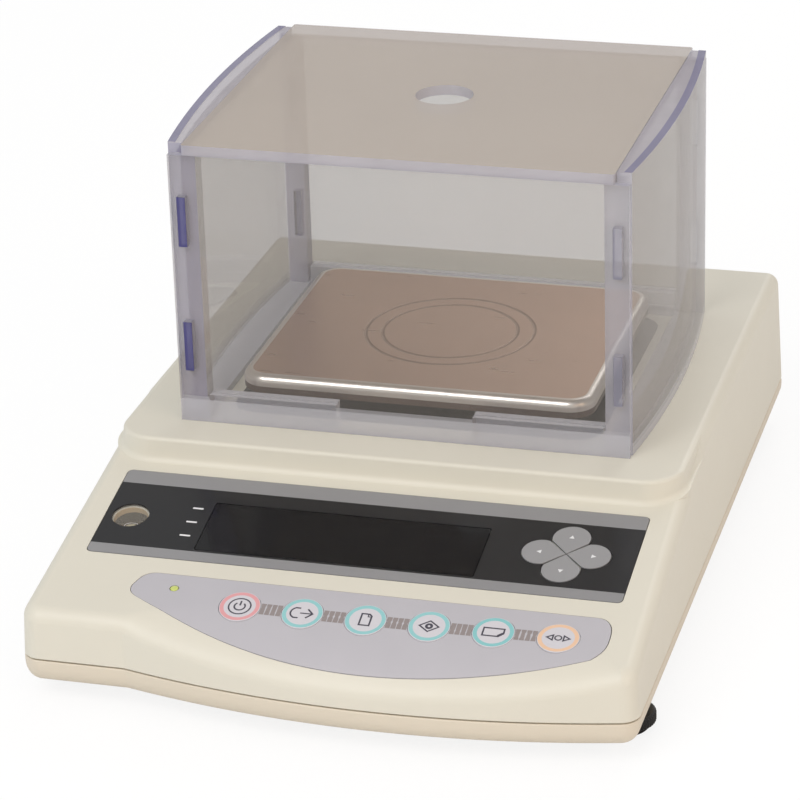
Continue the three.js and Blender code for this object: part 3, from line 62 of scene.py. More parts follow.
# Sizes of the solids that the fine pieces stand for (millimetres)
HALF_WIDTH, FRONT_Y, REAR_Y, CORNER = 115.5, -150.1, 159.2, 7.6
TAPER, TRIM_R, OVERRUN, REAR_EDGE = 2.3, 12.0, 2.0, 0.8
APEX_X, APEX_Y, CHIN_R = 20.0, -162.2, 379.0
LEAN = 0.048  # of the walls, inward for each millimetre up
WALL = 2.5
REAR_PLATE_Y = REAR_Y - 1.9
TRAY_Z, PARTING_Z, COVER_Z, DECK_Z = 8.1, 17.3, 18.1, 65.0
EDGE_R, CHIN_RUN, CHIN_DROP = 5.0, 40.0, 12.5
SLOPE, MEETS_Y = radians(11.1), -5.4
PLATEAU_Y, PLATEAU_HALF, PLATEAU_R = -53.4, 110.7, 15.0
SHIELD_Y, SHIELD_Z = 39.2, 65.1
SHIELD_X, SHIELD_D, SHIELD_H, BOW, PANE = 88.5, 74.0, 113.0, 4.9, 3.0
LID_X, LID_T, LID_HOLE = 83.0, 4.0, 11.3
POST, FOOT_BAND, SIDE_BAND = 10.0, 9.2, 4.8  # the bands are the panes' paler foot
TAB_X, TAB_HEIGHTS, TAB_RISE = 84, (31, 82), 10
RAIL_END, RAIL_START, RAIL_DEPTH, RAIL_H = 77.7, 27, 6, 10
PAN_W, PAN_D, PAN_R, PAN_TOP, PAN_SKIRT = 140.0, 117.0, 10.0, 79.1, 7.0
PAN_ROLL, PAN_FLAT, TURNED_R, TURNED_SIDES = 2.8, 3.4, 36.0, 96
PORT_Z, SERIAL_X, JACK_X = 38, -40, -78

# How the clear sheets, the floor and the surroundings take the light
SHADOW_SHARE = 0.25
FLOOR_REACH = 3000
FLOOR_COLOR, FLOOR_GLOW, FLOOR_GLOW_SHARE = (243.445229,) * 3, 1.04, 0.82  # 0.9 linear
AMBIENT, BACKDROP = 0.55, 1.0


def linear(color):
    """A colour of the screen, 0 to 255, as the renderer's linear one."""
    shares = [c / 255 for c in color]
    return [c / 12.92 if c <= 0.04045 else ((c + 0.055) / 1.055) ** 2.4 for c in shares]


def feed(m, node, inputs):
    """Gives each named input of a node a value, or the output of another node."""
    for name, value in inputs.items():
        if isinstance(value, bpy.types.NodeSocket):
            m.node_tree.links.new(value, node.inputs[name])
        else:
            node.inputs[name].default_value = value


def add_node(m, kind, inputs, **settings):
    """Adds a node: first its settings, then its inputs."""
    node = m.node_tree.nodes.new("ShaderNode" + kind)
    for name, value in settings.items():
        setattr(node, name, value)
    feed(m, node, inputs)
    return node


def mix_colors(m, share, first, second, blend="MIX"):
    """Blends two colours. Its sockets share names, so they go by number."""
    inputs = {0: share, 6: first, 7: second}
    return add_node(m, "Mix", inputs, data_type="RGBA", blend_type=blend).outputs[2]


def surface(name, color, rough, metal=0.0, alpha=1.0, vary=0.03, scale=30.0, rough_vary=0.05,
            grain=0.0, grain_scale=2500.0, stretch=(1, 1, 1), coat=0.0, ior=1.46, glow=0.0):
    """A material whose colour, roughness and relief vary a little over the object."""
    color = linear(color)
    m = bpy.data.materials.new(name)
    m.use_nodes = True
    place = add_node(m, "TexCoord", {})
    mapping = add_node(m, "Mapping", {"Scale": stretch, "Vector": place.outputs["Object"]})

    def noise(scale, detail):
        inputs = {"Scale": scale, "Detail": detail, "Vector": mapping.outputs["Vector"]}
        return add_node(m, "TexNoise", inputs).outputs["Fac"]

    low, high = ([min(1, c * share) for c in color] + [1] for share in (1 - vary, 1 + vary))
    tone = mix_colors(m, noise(scale, 3.0), low, high)
    spread = add_node(m, "MapRange", {"Value": noise(scale * 9, 2.0),
                                      "To Min": max(0.02, rough - rough_vary),
                                      "To Max": min(1, rough + rough_vary)})
    inputs = {"Base Color": tone, "Roughness": spread.outputs["Result"],
              "Metallic": metal, "Alpha": alpha, "Coat Weight": coat, "Coat Roughness": 0.06,
              "IOR": ior}
    if grain:
        bump = add_node(m, "Bump", {"Strength": grain, "Distance": 0.0001,
                                    "Height": noise(grain_scale, 2.0)})
        inputs["Normal"] = bump.outputs["Normal"]
    if glow:
        inputs["Emission Color"] = color + [1]
        inputs["Emission Strength"] = glow
    feed(m, m.node_tree.nodes["Principled BSDF"], inputs)
    return m


def clear_sheet(name, color, low, high, rough=0.04):
    """Clear sheet that lets most light through, and grows denser where it is seen edge on."""
    m = surface(name, color, rough=rough, rough_vary=0.02, vary=0.05, scale=12, ior=1.49)
    facing = add_node(m, "LayerWeight", {"Blend": 0.35}).outputs["Facing"]
    dense = add_node(m, "MapRange", {"Value": facing, "To Min": low, "To Max": high})
    shadow = add_node(m, "LightPath", {}).outputs["Is Shadow Ray"]
    share = add_node(m, "MapRange", {"Value": shadow, "To Min": 1, "To Max": SHADOW_SHARE})
    alpha = add_node(m, "Math", {0: dense.outputs["Result"], 1: share.outputs["Result"]},
                     operation="MULTIPLY")
    feed(m, m.node_tree.nodes["Principled BSDF"], {"Alpha": alpha.outputs["Value"]})
    return m


def banded_film(name, axis, low, high, bands, rough):
    """Film whose colour changes in bands along one axis, between low and high in millimetres."""
    m = surface(name, bands[0][1], rough, grain=0.15, coat=0.25)
    nodes = m.node_tree.nodes
    split = add_node(m, "SeparateXYZ", {"Vector": nodes["Texture Coordinate"].outputs["Object"]})
    along = add_node(m, "MapRange", {"Value": split.outputs[axis], "From Min": low * MM,
                                     "From Max": high * MM})
    ramp = add_node(m, "ValToRGB", {"Fac": along.outputs["Result"]})
    ramp.color_ramp.interpolation = "CONSTANT"
    stops = ramp.color_ramp.elements
    for i, (share, color) in enumerate(bands):
        stop = stops[i] if i < 2 else stops.new(share)
        stop.position = share
        stop.color = linear(color) + [1]
    wear = nodes["Noise Texture"].outputs["Fac"]
    tone = mix_colors(m, 0.12, ramp.outputs["Color"], wear, "MULTIPLY")
    feed(m, nodes["Principled BSDF"], {"Base Color": tone})
    return m


casing = surface("casing_plastic", (225, 221, 207), 0.42, vary=0.02, grain=0.25, grain_scale=2200)
tray = surface("tray_plastic", (224, 214, 196), 0.45, vary=0.02, grain=0.25, grain_scale=2200)
film_lilac = surface("key_panel_film", (192, 190, 196), 0.38, scale=60, grain=0.2, coat=0.15)
key_face = surface("key_film", (214, 212, 218), 0.36, vary=0.02, grain=0.2, coat=0.2)
pink, teal, dark_teal, orange = (228, 164, 168), (150, 206, 208), (140, 202, 204), (238, 200, 168)
rings = [surface(f"key_ring_ink_{i + 1}", c, 0.4, grain=0.15, coat=0.2)
         for i, c in enumerate((pink, teal, teal, teal, dark_teal, orange))]
ink = surface("dark_ink", (74, 72, 84), 0.5, vary=0.08, scale=300)
bar_ink = surface("bar_ink", (150, 141, 140), 0.5, vary=0.06, scale=300)
white_ink = surface("white_ink", (236, 236, 238), 0.45, vary=0.02, scale=300)
cursor_grey = surface("cursor_key_plastic", (154, 154, 156), 0.38, grain=0.3, coat=0.15)
lamp_green = surface("lamp_lens", (190, 200, 110), 0.2, vary=0.05, scale=400, coat=0.5, glow=0.2)
window_glass = clear_sheet("smoked_window", (7, 7, 10), 0.88, 0.97, 0.08)
# Dark of the level's fluid; on the sleeve's lower ring it is painted shade deep in the hole.
vial_dark_and_hole_shade = surface("level_fluid", (62, 50, 34), 0.08, vary=0.1, scale=200, coat=0.6)
bubble_clear = surface("level_bubble", (196, 190, 160), 0.06, vary=0.05, scale=300, coat=0.8)
# The casing plastic's tan as it looks in shade, painted on the level's sleeve.
sleeve_shade_tan = surface("level_sleeve", (206, 180, 140), 0.5, vary=0.05, scale=150)
lens_clear = clear_sheet("level_lens", (200, 196, 186), 0.06, 0.35)
# The steel's warm taupe tint is partly its own colour and partly a painted reflection of brown
# surroundings.
pan_steel = surface("pan_steel", (203, 172, 152), 0.30, metal=1, vary=0.05, scale=18,
                    rough_vary=0.06, grain=0.2, grain_scale=700, stretch=(0.3, 1.6, 1.0))
# Darker steel in the turned grooves: painted shade.
groove_steel_painted_shade = surface("pan_groove_steel", (160, 136, 120), 0.4, metal=1, vary=0.04, scale=40)
# Paler steel for the rolled edge and the underside: a painted highlight along the rim.
rim_steel_painted_highlight = surface("pan_rim_steel", (234, 226, 218), 0.3, metal=1, scale=40, rough_vary=0.04)
# Darker steel for the skirt's lower bands: painted shade under the rim.
skirt_steel_painted_shade = surface("pan_skirt_steel", (118, 100, 92), 0.3, metal=1, vary=0.06)
wall_clear = clear_sheet("shield_acrylic", (177, 173, 169), 0.10, 0.36)
foot_clear = clear_sheet("shield_acrylic_foot", (204, 204, 210), 0.46, 0.62)
# Darker, denser copies of the one acrylic: painted shade on the right pane's faces, and on the rear
# and left panes' faces.
right_pane_painted_shade = clear_sheet("shield_acrylic_right", (164, 159, 154), 0.30, 0.52)
far_pane_painted_shade = clear_sheet("shield_acrylic_deep", (172, 168, 162), 0.34, 0.58)
lid_clear = clear_sheet("lid_acrylic", (190, 179, 168), 0.52, 0.78)
rail_clear = clear_sheet("acrylic_rail", (198, 198, 206), 0.55, 0.82, 0.1)


def clear_edge(name, color, alpha, vary=0.12, rough=0.12, scale=60):
    """Polished acrylic seen along its edge; its colour paints the reflections and highlights seen
    there.
    """
    return surface(name, color, rough, alpha=alpha, vary=vary, scale=scale)


# The edge colours of the one acrylic are painted light: violet and dark blue paint the reflection
# seen in the rims, the left posts' ends and the left tabs; the pale ones paint highlights on the
# ledges, post sides, right posts and tabs, the end panes' rims and the lid's edges.
edge_violet_painted_reflection = clear_edge("acrylic_edge", (118, 114, 148), 0.85)
ledge_pale = clear_edge("acrylic_ledge", (180, 174, 184), 0.62, 0.10)
post_side_painted_light = clear_edge("acrylic_post_clear", (202, 200, 208), 0.35, 0.08)
post_violet_painted_reflection = clear_edge("acrylic_post", (146, 142, 168), 0.66)
edge_pale = clear_edge("acrylic_edge_pale", (190, 189, 202), 0.58, 0.10)
tab_blue_painted_reflection = clear_edge("acrylic_tab_end", (74, 72, 128), 0.92, 0.15, 0.15, 120)
tab_pale_painted_highlight = clear_edge("acrylic_tab_end_pale", (150, 150, 168), 0.6, 0.15, 0.15, 120)
black = surface("black_plastic", (22, 22, 23), 0.45, vary=0.15, scale=80, grain=0.4)
foot_black = surface("foot_plastic", (26, 26, 27), 0.38, vary=0.12, scale=150, grain=0.3)
rubber = surface("rubber", (30, 30, 31), 0.82, vary=0.15, scale=150, grain=0.6, grain_scale=1500)
cast = surface("cast_metal", (168, 168, 165), 0.5, metal=1, vary=0.08, scale=90, grain=0.7,
               grain_scale=1200)
spring_alloy = surface("spring_alloy", (192, 186, 170), 0.28, metal=1, vary=0.04, grain=0.3,
                       stretch=(1, 0.1, 1))
plated = surface("plated_steel", (186, 186, 190), 0.24, metal=1, vary=0.05, scale=120, grain=0.2)
board_green = surface("circuit_board", (40, 92, 58), 0.4, vary=0.25, scale=220, grain=0.5, coat=0.3)
stripes = [(i / 8, (44, 52, 54) if i % 2 else (30, 34, 38)) for i in range(8)]
tube_glass = banded_film("display_tube_glass", "X", -60, 46, stripes, 0.15)

CAD_LOOKS = dict(
    casing=casing, tray=tray, dark_panel=black, dark_glass=window_glass, key_panel=film_lilac,
    cursor_keys=cursor_grey, key_film=key_face, lamp=lamp_green, clear_acrylic=wall_clear,
    lid_acrylic=lid_clear, pan_steel=pan_steel, black_plastic=black, foot_plastic=foot_black,
    rubber=rubber, cast_metal=cast, spring_metal=spring_alloy, circuit_board=board_green,
    screw_metal=plated, tube_glass=tube_glass, vial_glass=vial_dark_and_hole_shade)


def dress(o, *mats):
    """Gives o these materials in place of any it has."""
    o.data.materials.clear()
    for m in mats:
        o.data.materials.append(m)
    return o


slot_of = {s["node"]: s["material_slot"] for s in frame["record"]["subparts"]}
for node, solid in frame["nodes"].items():
    dress(solid, CAD_LOOKS[slot_of[node]])


# Mesh building, all in millimetres
def add_object(name, data):
    o = bpy.data.objects.new(name, data)
    bpy.context.scene.collection.objects.link(o)
    return o


def shade(o, angle=32):
    """Smooth faces with creases at real edges, and normals that favour the large faces."""
    for p in o.data.polygons:
        p.use_smooth = True
    o.data.set_sharp_from_angle(angle=radians(angle))
    if "weights" not in o.modifiers:
        w = o.modifiers.new("weights", "WEIGHTED_NORMAL")
        w.keep_sharp = True
        w.weight = 80
    return o


def mesh(name, verts, faces, mats=(), picks=None, angle=32):
    """An object from points and faces; picks says which of mats each face has."""
    data = bpy.data.meshes.new(name)
    data.from_pydata([[c * MM for c in v] for v in verts], [], faces)
    o = dress(add_object(name, data), *mats)
    if picks:
        for p, i in zip(data.polygons, picks):
            p.material_index = i
    return shade(o, angle)


def bake(o):
    """Applies the modifiers that o has."""
    graph = bpy.context.evaluated_depsgraph_get()
    data = bpy.data.meshes.new_from_object(o.evaluated_get(graph), preserve_all_data_layers=True,
                                           depsgraph=graph)
    o.modifiers.clear()
    o.data = data
    return o


def cut(o, tool, operation="DIFFERENCE"):
    """Takes tool away from o, or joins or intersects the two, and uses tool up."""
    o.modifiers.clear()
    tool.modifiers.clear()
    b = o.modifiers.new("cut", "BOOLEAN")
    b.operation = operation
    b.solver = "EXACT"
    b.object = tool
    bake(o)
    bpy.data.objects.remove(tool)
    return o


def bevel(o, width, segments, angle):
    """Adds a modifier that rounds by width the edges sharper than angle."""
    b = o.modifiers.new("edge", "BEVEL")
    b.width = width * MM
    b.segments = segments
    b.limit_method = "ANGLE"
    b.angle_limit = radians(angle)


def soften(o, width, segments=2):
    """Rounds o's sharp edges by width, for good."""
    o.modifiers.clear()
    bevel(o, width, segments, 40)
    return shade(bake(o))


def quads(start, n, count):
    """The faces between count rings of n points, the first of which begins at vertex start."""
    return [(start + r * n + i, start + r * n + (i + 1) % n, start + (r + 1) * n + (i + 1) % n,
             start + (r + 1) * n + i) for r in range(count - 1) for i in range(n)]


def quarter(steps, first=0):
    """Angles that rise to a quarter turn in equal steps."""
    return [k / steps * pi / 2 for k in range(first, steps + 1)]


def stack(name, ring_list):
    """A closed body through rings of points, closed by flat ends."""
    n = len(ring_list[0])
    faces = quads(0, n, len(ring_list))
    faces.append(tuple(reversed(range(n))))
    faces.append(tuple(range((len(ring_list) - 1) * n, len(ring_list) * n)))
    return mesh(name, [p for ring in ring_list for p in ring], faces)


def lathe(name, profile, mats, picks=None, sides=64, move=Matrix(), knurl=None):
    """Turns (radius, height) points about Z. knurl has the inner points to sink, and how deep."""
    verts, faces, face_picks = [], [], []
    inner = profile[1:-1]
    for k, (r, z) in enumerate(inner):
        for i in range(sides):
            a = 2 * pi * i / sides
            rr = r - (knurl[1] if knurl and i % 2 and k in knurl[0] else 0)
            verts.append(move @ Vector((rr * cos(a), rr * sin(a), z)))
    low = len(verts)
    verts += [move @ Vector((0, 0, profile[0][1])), move @ Vector((0, 0, profile[-1][1]))]
    picks = picks or [0] * (len(profile) - 1)
    last = (len(inner) - 1) * sides
    for i in range(sides):
        j = (i + 1) % sides
        faces.append((low, j, i))
        face_picks.append(picks[0])
        for k in range(len(inner) - 1):
            faces.append((k * sides + i, k * sides + j, (k + 1) * sides + j, (k + 1) * sides + i))
            face_picks.append(picks[k + 1])
        faces.append((last + i, last + j, low + 1))
        face_picks.append(picks[-1])
    return mesh(name, verts, faces, mats, face_picks)


def plate(name, outline, z0, z1, mats=(), holes=(), move=Matrix()):
    """A flat plate from a closed outline and holes, given as lists of (x, y)."""
    loops = [outline] + list(holes)
    flat = [p for loop in loops for p in loop]
    n = len(flat)
    verts = [move @ Vector((x, y, z)) for z in (z0, z1) for x, y in flat]
    tris = tessellate_polygon([[Vector((x, y, 0)) for x, y in loop] for loop in loops])
    faces = []
    for a, b, c in tris:
        pa, pb, pc = flat[a], flat[b], flat[c]
        if (pb[0] - pa[0]) * (pc[1] - pa[1]) - (pb[1] - pa[1]) * (pc[0] - pa[0]) < 0:
            b, c = c, b
        faces += [(a + n, b + n, c + n), (a, c, b)]
    start = 0
    for loop in loops:
        area = sum(p[0] * q[1] - q[0] * p[1] for p, q in zip(loop, loop[1:] + loop[:1]))
        turn = 1 if (area > 0) == (start == 0) else -1
        for i in range(len(loop)):
            j = (i + 1) % len(loop)
            side = (start + i, start + j, start + j + n, start + i + n)
            faces.append(side if turn > 0 else tuple(reversed(side)))
        start += len(loop)
    return mesh(name, verts, faces, mats)


def block(name, x0, x1, y0, y1, z0, z1, move=Matrix()):
    return plate(name, [(x0, y0), (x1, y0), (x1, y1), (x0, y1)], z0, z1, move=move)


def drill(o, outline, z0, z1, move=Matrix()):
    """Cuts a straight opening into o."""
    return cut(o, plate("tool", outline, z0, z1, move=move))


def circle(x, y, r, n=48):
    return [(x + r * cos(2 * pi * i / n), y + r * sin(2 * pi * i / n)) for i in range(n)]


def arc(x, y, r, a0, a1, n):
    angles = [a0 + (a1 - a0) * i / n for i in range(n + 1)]
    return [(x + r * cos(a), y + r * sin(a)) for a in angles]


def rounded(w, d, r, n=10, x=0.0, y=0.0):
    """A rectangle with its corners rounded in n steps, round its middle (x, y)."""
    cx, cy = w / 2 - r, d / 2 - r
    return [p for side, end, q in ((-1, -1, 2), (1, -1, 3), (1, 1, 0), (-1, 1, 1))
            for p in arc(x + side * cx, y + end * cy, r, q * pi / 2, (q + 1) * pi / 2, n)]


def piece(o, body, slot, *stands_for):
    """Names the body that o moves with, and the nodes it replaces. Its slot is not used."""
    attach(o, body)
    if stands_for:
        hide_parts(*stands_for)
    return o


# The casing's outline: points, outward normals, and the chin's share at each. It runs on past the
# flat rear wall, which end_at cuts.
CHIN_Y = APEX_Y + CHIN_R
CREASE_X = APEX_X - sqrt(CHIN_R ** 2 - (CHIN_Y - FRONT_Y) ** 2)
CREASE_A = atan2(FRONT_Y - CHIN_Y, CREASE_X - APEX_X)
RIGHT_X = HALF_WIDTH - CORNER
REAR_X = HALF_WIDTH - TAPER - TRIM_R
RIGHT_Y = CHIN_Y - sqrt((CHIN_R - CORNER) ** 2 - (RIGHT_X - APEX_X) ** 2)
RIGHT_A = atan2(RIGHT_Y - CHIN_Y, RIGHT_X - APEX_X)


def chin_share(t):
    """How much of the chin's deep round the front has, from 0 at its ends to 1."""
    return sin(pi * min(max(t, 0), 1)) ** 0.75


def with_normals(x, y, r, a0, a1, n, share=lambda t: 0.0):
    """An arc as [x, y, normal's x, normal's y, share of the chin]."""
    angles = [(i / n, a0 + (a1 - a0) * i / n) for i in range(n + 1)]
    return [[x + r * cos(a), y + r * sin(a), cos(a), sin(a), share(t)] for t, a in angles]


def casing_outline(corner, chin):
    """The outline, with the front corners in corner steps and the chin in chin steps."""
    left = with_normals(-RIGHT_X, FRONT_Y + CORNER, CORNER, pi, 1.5 * pi, corner)
    front = with_normals(APEX_X, CHIN_Y, CHIN_R, CREASE_A, RIGHT_A, chin, chin_share)
    mitre = 1 - sin(CREASE_A)
    front[0][2] /= mitre
    front[0][3] = (front[0][3] - 1) / mitre
    front.pop()
    return (left + front + with_normals(RIGHT_X, RIGHT_Y, CORNER, RIGHT_A, 0, corner)
            + with_normals(REAR_X, REAR_Y + OVERRUN, TRIM_R, 0, pi / 2, 4)
            + with_normals(-REAR_X, REAR_Y + OVERRUN, TRIM_R, pi / 2, pi, 4))


def end_at(o, rear, edge=0.0):
    """Cuts o off flat behind rear, and rounds the new edges by edge."""
    cut(o, block("behind", -140, 140, rear, rear + 60, -20, 120))
    if edge:
        rim = bmesh.new()
        rim.from_mesh(o.data)
        round_off = [e for e in rim.edges if e.calc_face_angle(0) > 0.5
                     and all(abs(v.co.y - rear * MM) < 1e-6 for v in e.verts)]
        bmesh.ops.bevel(rim, geom=round_off, offset=edge * MM, segments=3, profile=0.5,
                        affect="EDGES", clamp_overlap=True)
        rim.to_mesh(o.data)
        rim.free()
    return shade(o, 34)


def console_z(y):
    """Height of the console's slope; deck_z is the level deck's."""
    return DECK_Z + tan(SLOPE) * (y - MEETS_Y)


def deck_z(y):
    return DECK_Z


def front_round(share):
    """How far the upper edge's round runs back and drops, for a share of the chin."""
    return EDGE_R + (CHIN_RUN - EDGE_R) * share, EDGE_R + (CHIN_DROP - EDGE_R) * share


def casing_block(name, inset, bottom, top, steps, corner, chin):
    """The casing from bottom up to the surface top(y), its upper edge rounded, all inset."""
    outline = casing_outline(corner, chin)
    drawn = inset + LEAN * (bottom - PARTING_Z)
    ring_list = [[(x - nx * drawn, y - ny * drawn, bottom) for x, y, nx, ny, s in outline]]
    for a in quarter(steps):
        ring = []
        for x, y, nx, ny, s in outline:
            run, drop = (max(c - inset, 0.5) for c in front_round(s))
            lean = LEAN * (top(y) - drop - PARTING_Z)
            d = inset + lean + run * (1 - cos(a))
            px, py = x - nx * d, y - ny * d
            ring.append((px, py, top(py) - inset - drop * (1 - sin(a))))
        ring_list.append(ring)
    return stack(name, ring_list)


def plateau_block(name, inset, fine):
    """The plateau, with a fillet at its foot that runs into the console."""
    n = 14 if fine else 4
    r = PLATEAU_R
    x, front, rear = PLATEAU_HALF - r, PLATEAU_Y + r, REAR_Y - r
    outline = (with_normals(-x, front, r, pi, 1.5 * pi, n)
               + with_normals(x, front, r, -pi / 2, 0, n)
               + with_normals(x, rear, r, 0, pi / 2, n) + with_normals(-x, rear, r, pi / 2, pi, n))
    foot, top_r = 2.2, 1.6
    top = DECK_Z - inset
    levels = [(inset - foot, None, -7.0), (inset - foot, None, -0.05)]
    levels += [(inset - foot * (1 - sin(a)), None, foot * (1 - cos(a))) for a in quarter(6, 1)]
    levels += [(inset + 0.35 + top_r * (1 - cos(a)), top - top_r * (1 - sin(a)), None)
               for a in quarter(6)]
    levels.append((inset + 0.4 + top_r, top + 2, None))
    ring_list = []
    for k, (d, z, above) in enumerate(levels):
        ring = []
        for px, py, nx, ny, s in outline:
            x, y = px - nx * d, py - ny * d
            ceiling = top - top_r - 0.02 * (8 - k)
            ring.append((x, y, min(console_z(y) + above - inset, ceiling) if z is None else z))
        ring_list.append(ring)
    return stack(name, ring_list)


def casing_top(name, inset, bottom, fine):
    """The cover's outer form, or its hollow with an inset."""
    steps, level_steps, corner, chin = (12, 10, 10, 72) if fine else (2, 2, 3, 16)
    body = casing_block(name, inset, bottom, console_z, steps, corner, chin)
    cut(body, plateau_block("plateau_tool", inset, fine), "UNION")
    level = casing_block("level_tool", inset, bottom - 0.01, deck_z, level_steps, corner, chin)
    cut(body, level, "INTERSECT")
    return end_at(body, REAR_Y - inset, REAR_EDGE if fine else 0)


def chin_surface(x, y):
    """Height and slope of the cover above the chin."""
    a = asin((x - APEX_X) / CHIN_R) - pi / 2
    s = chin_share((a - CREASE_A) / (RIGHT_A - CREASE_A))
    run, drop = front_round(s)
    lean = LEAN * (console_z(y) - drop - PARTING_Z)
    t = min(max((CHIN_Y + CHIN_R * sin(a) + lean + run - y) / run, 0), 1)
    rest = sqrt(1 - t * t)
    return console_z(y) - drop * (1 - rest), atan(tan(SLOPE) + drop * t / (run * rest))


# The console's frame: X across, V up the slope, W out of it, from the display panel's middle.
# What lies on it is placed in X and V. PETAL is a cursor key, BOAT the key panel.
PANEL_W, PANEL_D, PANEL_TOP = 203.2, 51.6, -60.6
CONSOLE_Y = PANEL_TOP - PANEL_D / 2 * cos(SLOPE)
CONSOLE = shift((0, CONSOLE_Y, console_z(CONSOLE_Y))) @ Matrix.Rotation(SLOPE, 4, "X")
KEY_Y, KEY_R, KEY_1_X, KEY_PITCH = -134.1, 7.7, -34.6, 23.65
KEY_X = [KEY_1_X + KEY_PITCH * i for i in range(6)]
KEY_FRAMES = []
for kx in KEY_X:
    kz, kslope = chin_surface(kx, KEY_Y)
    KEY_FRAMES.append(shift((kx, KEY_Y, kz)) @ Matrix.Rotation(kslope, 4, "X"))
CURSOR_X, CURSOR_V, PETAL_OFF, PETAL_R = 75.8, -0.9, 9.5, 7.1
PETALS = [(CURSOR_X + PETAL_OFF * cos(k * pi / 2), CURSOR_V + PETAL_OFF * sin(k * pi / 2))
          for k in range(4)]
LEVEL_X, LEVEL_V = -91.9, -2.2
WINDOW_X, WINDOW_V, WINDOW_W, WINDOW_D = -8.2, -4.5, 107.0, 29.4
LAMP_X, LAMP_V = -61.6, -42.8
STEM_R, STEM_LOW, STEM_BORE = 1.6, -6.6, 2.2
KEY_TOP, INK_LIFT = 0.25, 0.03
BOAT_LEFT, BOAT_TOP, BOAT_W, BOAT_D = -77.6, -34.9, 179.2, 38.0


def on_console(x, v):
    """The console's frame, moved to a place on it."""
    return CONSOLE @ shift((x, v, 0))


def quatrefoil(r):
    """The outline round the four cursor keys, each of radius r."""
    reach = (PETAL_OFF + sqrt(2 * r ** 2 - PETAL_OFF ** 2)) / 2
    sweep = pi - atan2(reach, PETAL_OFF - reach)
    return [p for k, (x, v) in enumerate(PETALS)
            for p in arc(x, v, r, k * pi / 2 - sweep, k * pi / 2 + sweep, 22)]


def bezier(points, n):
    """Points along a Bezier curve of any degree, without its first point."""
    out = []
    for i in range(1, n + 1):
        t = i / n
        p = [Vector(q) for q in points]
        while len(p) > 1:
            p = [a.lerp(b, t) for a, b in zip(p, p[1:])]
        out.append(tuple(p[0]))
    return out


def boat(grow):
    """The key panel's outline, let out by grow."""
    left, top = BOAT_LEFT - grow, BOAT_TOP + grow
    w, d = BOAT_W + 2 * grow, BOAT_D + 2 * grow

    def at(x, y):
        return (left + x * w, top - y * d)

    out = [at(0.045, 0), at(0.955, 0.02)]
    out += bezier([at(0.955, 0.02), at(1, 0), at(1, 0.3)], 10)
    out += bezier([at(1, 0.3), at(1.003, 0.52), at(0.975, 0.63)], 5)
    out += bezier([at(0.975, 0.63), at(0.8, 0.95), at(0.38, 1.38), at(0.03, 0.41)], 40)
    out += bezier([at(0.03, 0.41), at(-0.012, 0.32), at(0.004, 0.17)], 10)
    out += bezier([at(0.004, 0.17), at(0.012, 0), at(0.045, 0)], 10)[:-1]
    return out[::-1]


# Upper cover. Its openings, in turn: display panel, key panel, window, level, stems, lamp,
# load carrier, chamber floor and connectors
cover = casing_top("upper_cover_skin", 0, COVER_Z, True)
cut(cover, casing_top("cover_hollow", WALL, COVER_Z - 2, False))
drill(cover, rounded(PANEL_W + 0.6, PANEL_D + 0.6, 2.2), -1.2, 4, CONSOLE)
boat_tool = plate("boat_tool", boat(0.3), -12, 4, move=CONSOLE)
cut(boat_tool, casing_block("boat_floor", 1.6, PARTING_Z, console_z, 8, 3, 48))
cut(cover, boat_tool)
drill(cover, rounded(WINDOW_W + 2, WINDOW_D + 2, 0.8, x=WINDOW_X, y=WINDOW_V), -4.2, 1, CONSOLE)
drill(cover, circle(LEVEL_X, LEVEL_V, 6.6), -5, 1, CONSOLE)
for k in KEY_FRAMES:
    drill(cover, circle(0, 0, STEM_BORE, 20), -8, 2, k)
for x, v in PETALS:
    drill(cover, circle(x, v, STEM_BORE, 20), -8, 2, CONSOLE)
drill(cover, circle(LAMP_X, LAMP_V, 2.1, 20), -8, 2, CONSOLE)
drill(cover, circle(0, SHIELD_Y, 14), 60, 68)
drill(cover, rounded(PAN_W + 6.6, PAN_D + 6.6, 10.3, y=SHIELD_Y), 64.2, 68)
x, z = SERIAL_X, PORT_Z
cut(cover, block("plate_tool", -87, -21.5, REAR_PLATE_Y, 164, z - 9.25, z + 9.25))
cut(cover, block("socket_tool", x - 9.3, x + 9.3, 151, 159, z - 4.5, z + 4.5))
jack_turn = shift((JACK_X, 0, PORT_Z)) @ Matrix.Rotation(pi / 2, 4, "X")
drill(cover, circle(0, 0, 5.3, 32), -162, -151, jack_turn)
piece(shade(dress(cover, casing), 34), "balance", "casing", "upper_cover")


# Lower tray
def tray_levels(inset, bottom, rise, steps):
    """The tray's rounded foot, as pairs of inset and height."""
    return [(inset + 4.5 * (1 - sin(a)), bottom + rise * (1 - cos(a))) for a in quarter(steps)]


def level_stack(name, outline, levels):
    return stack(name, [[(x - nx * d, y - ny * d, z) for x, y, nx, ny, s in outline]
                        for d, z in levels])


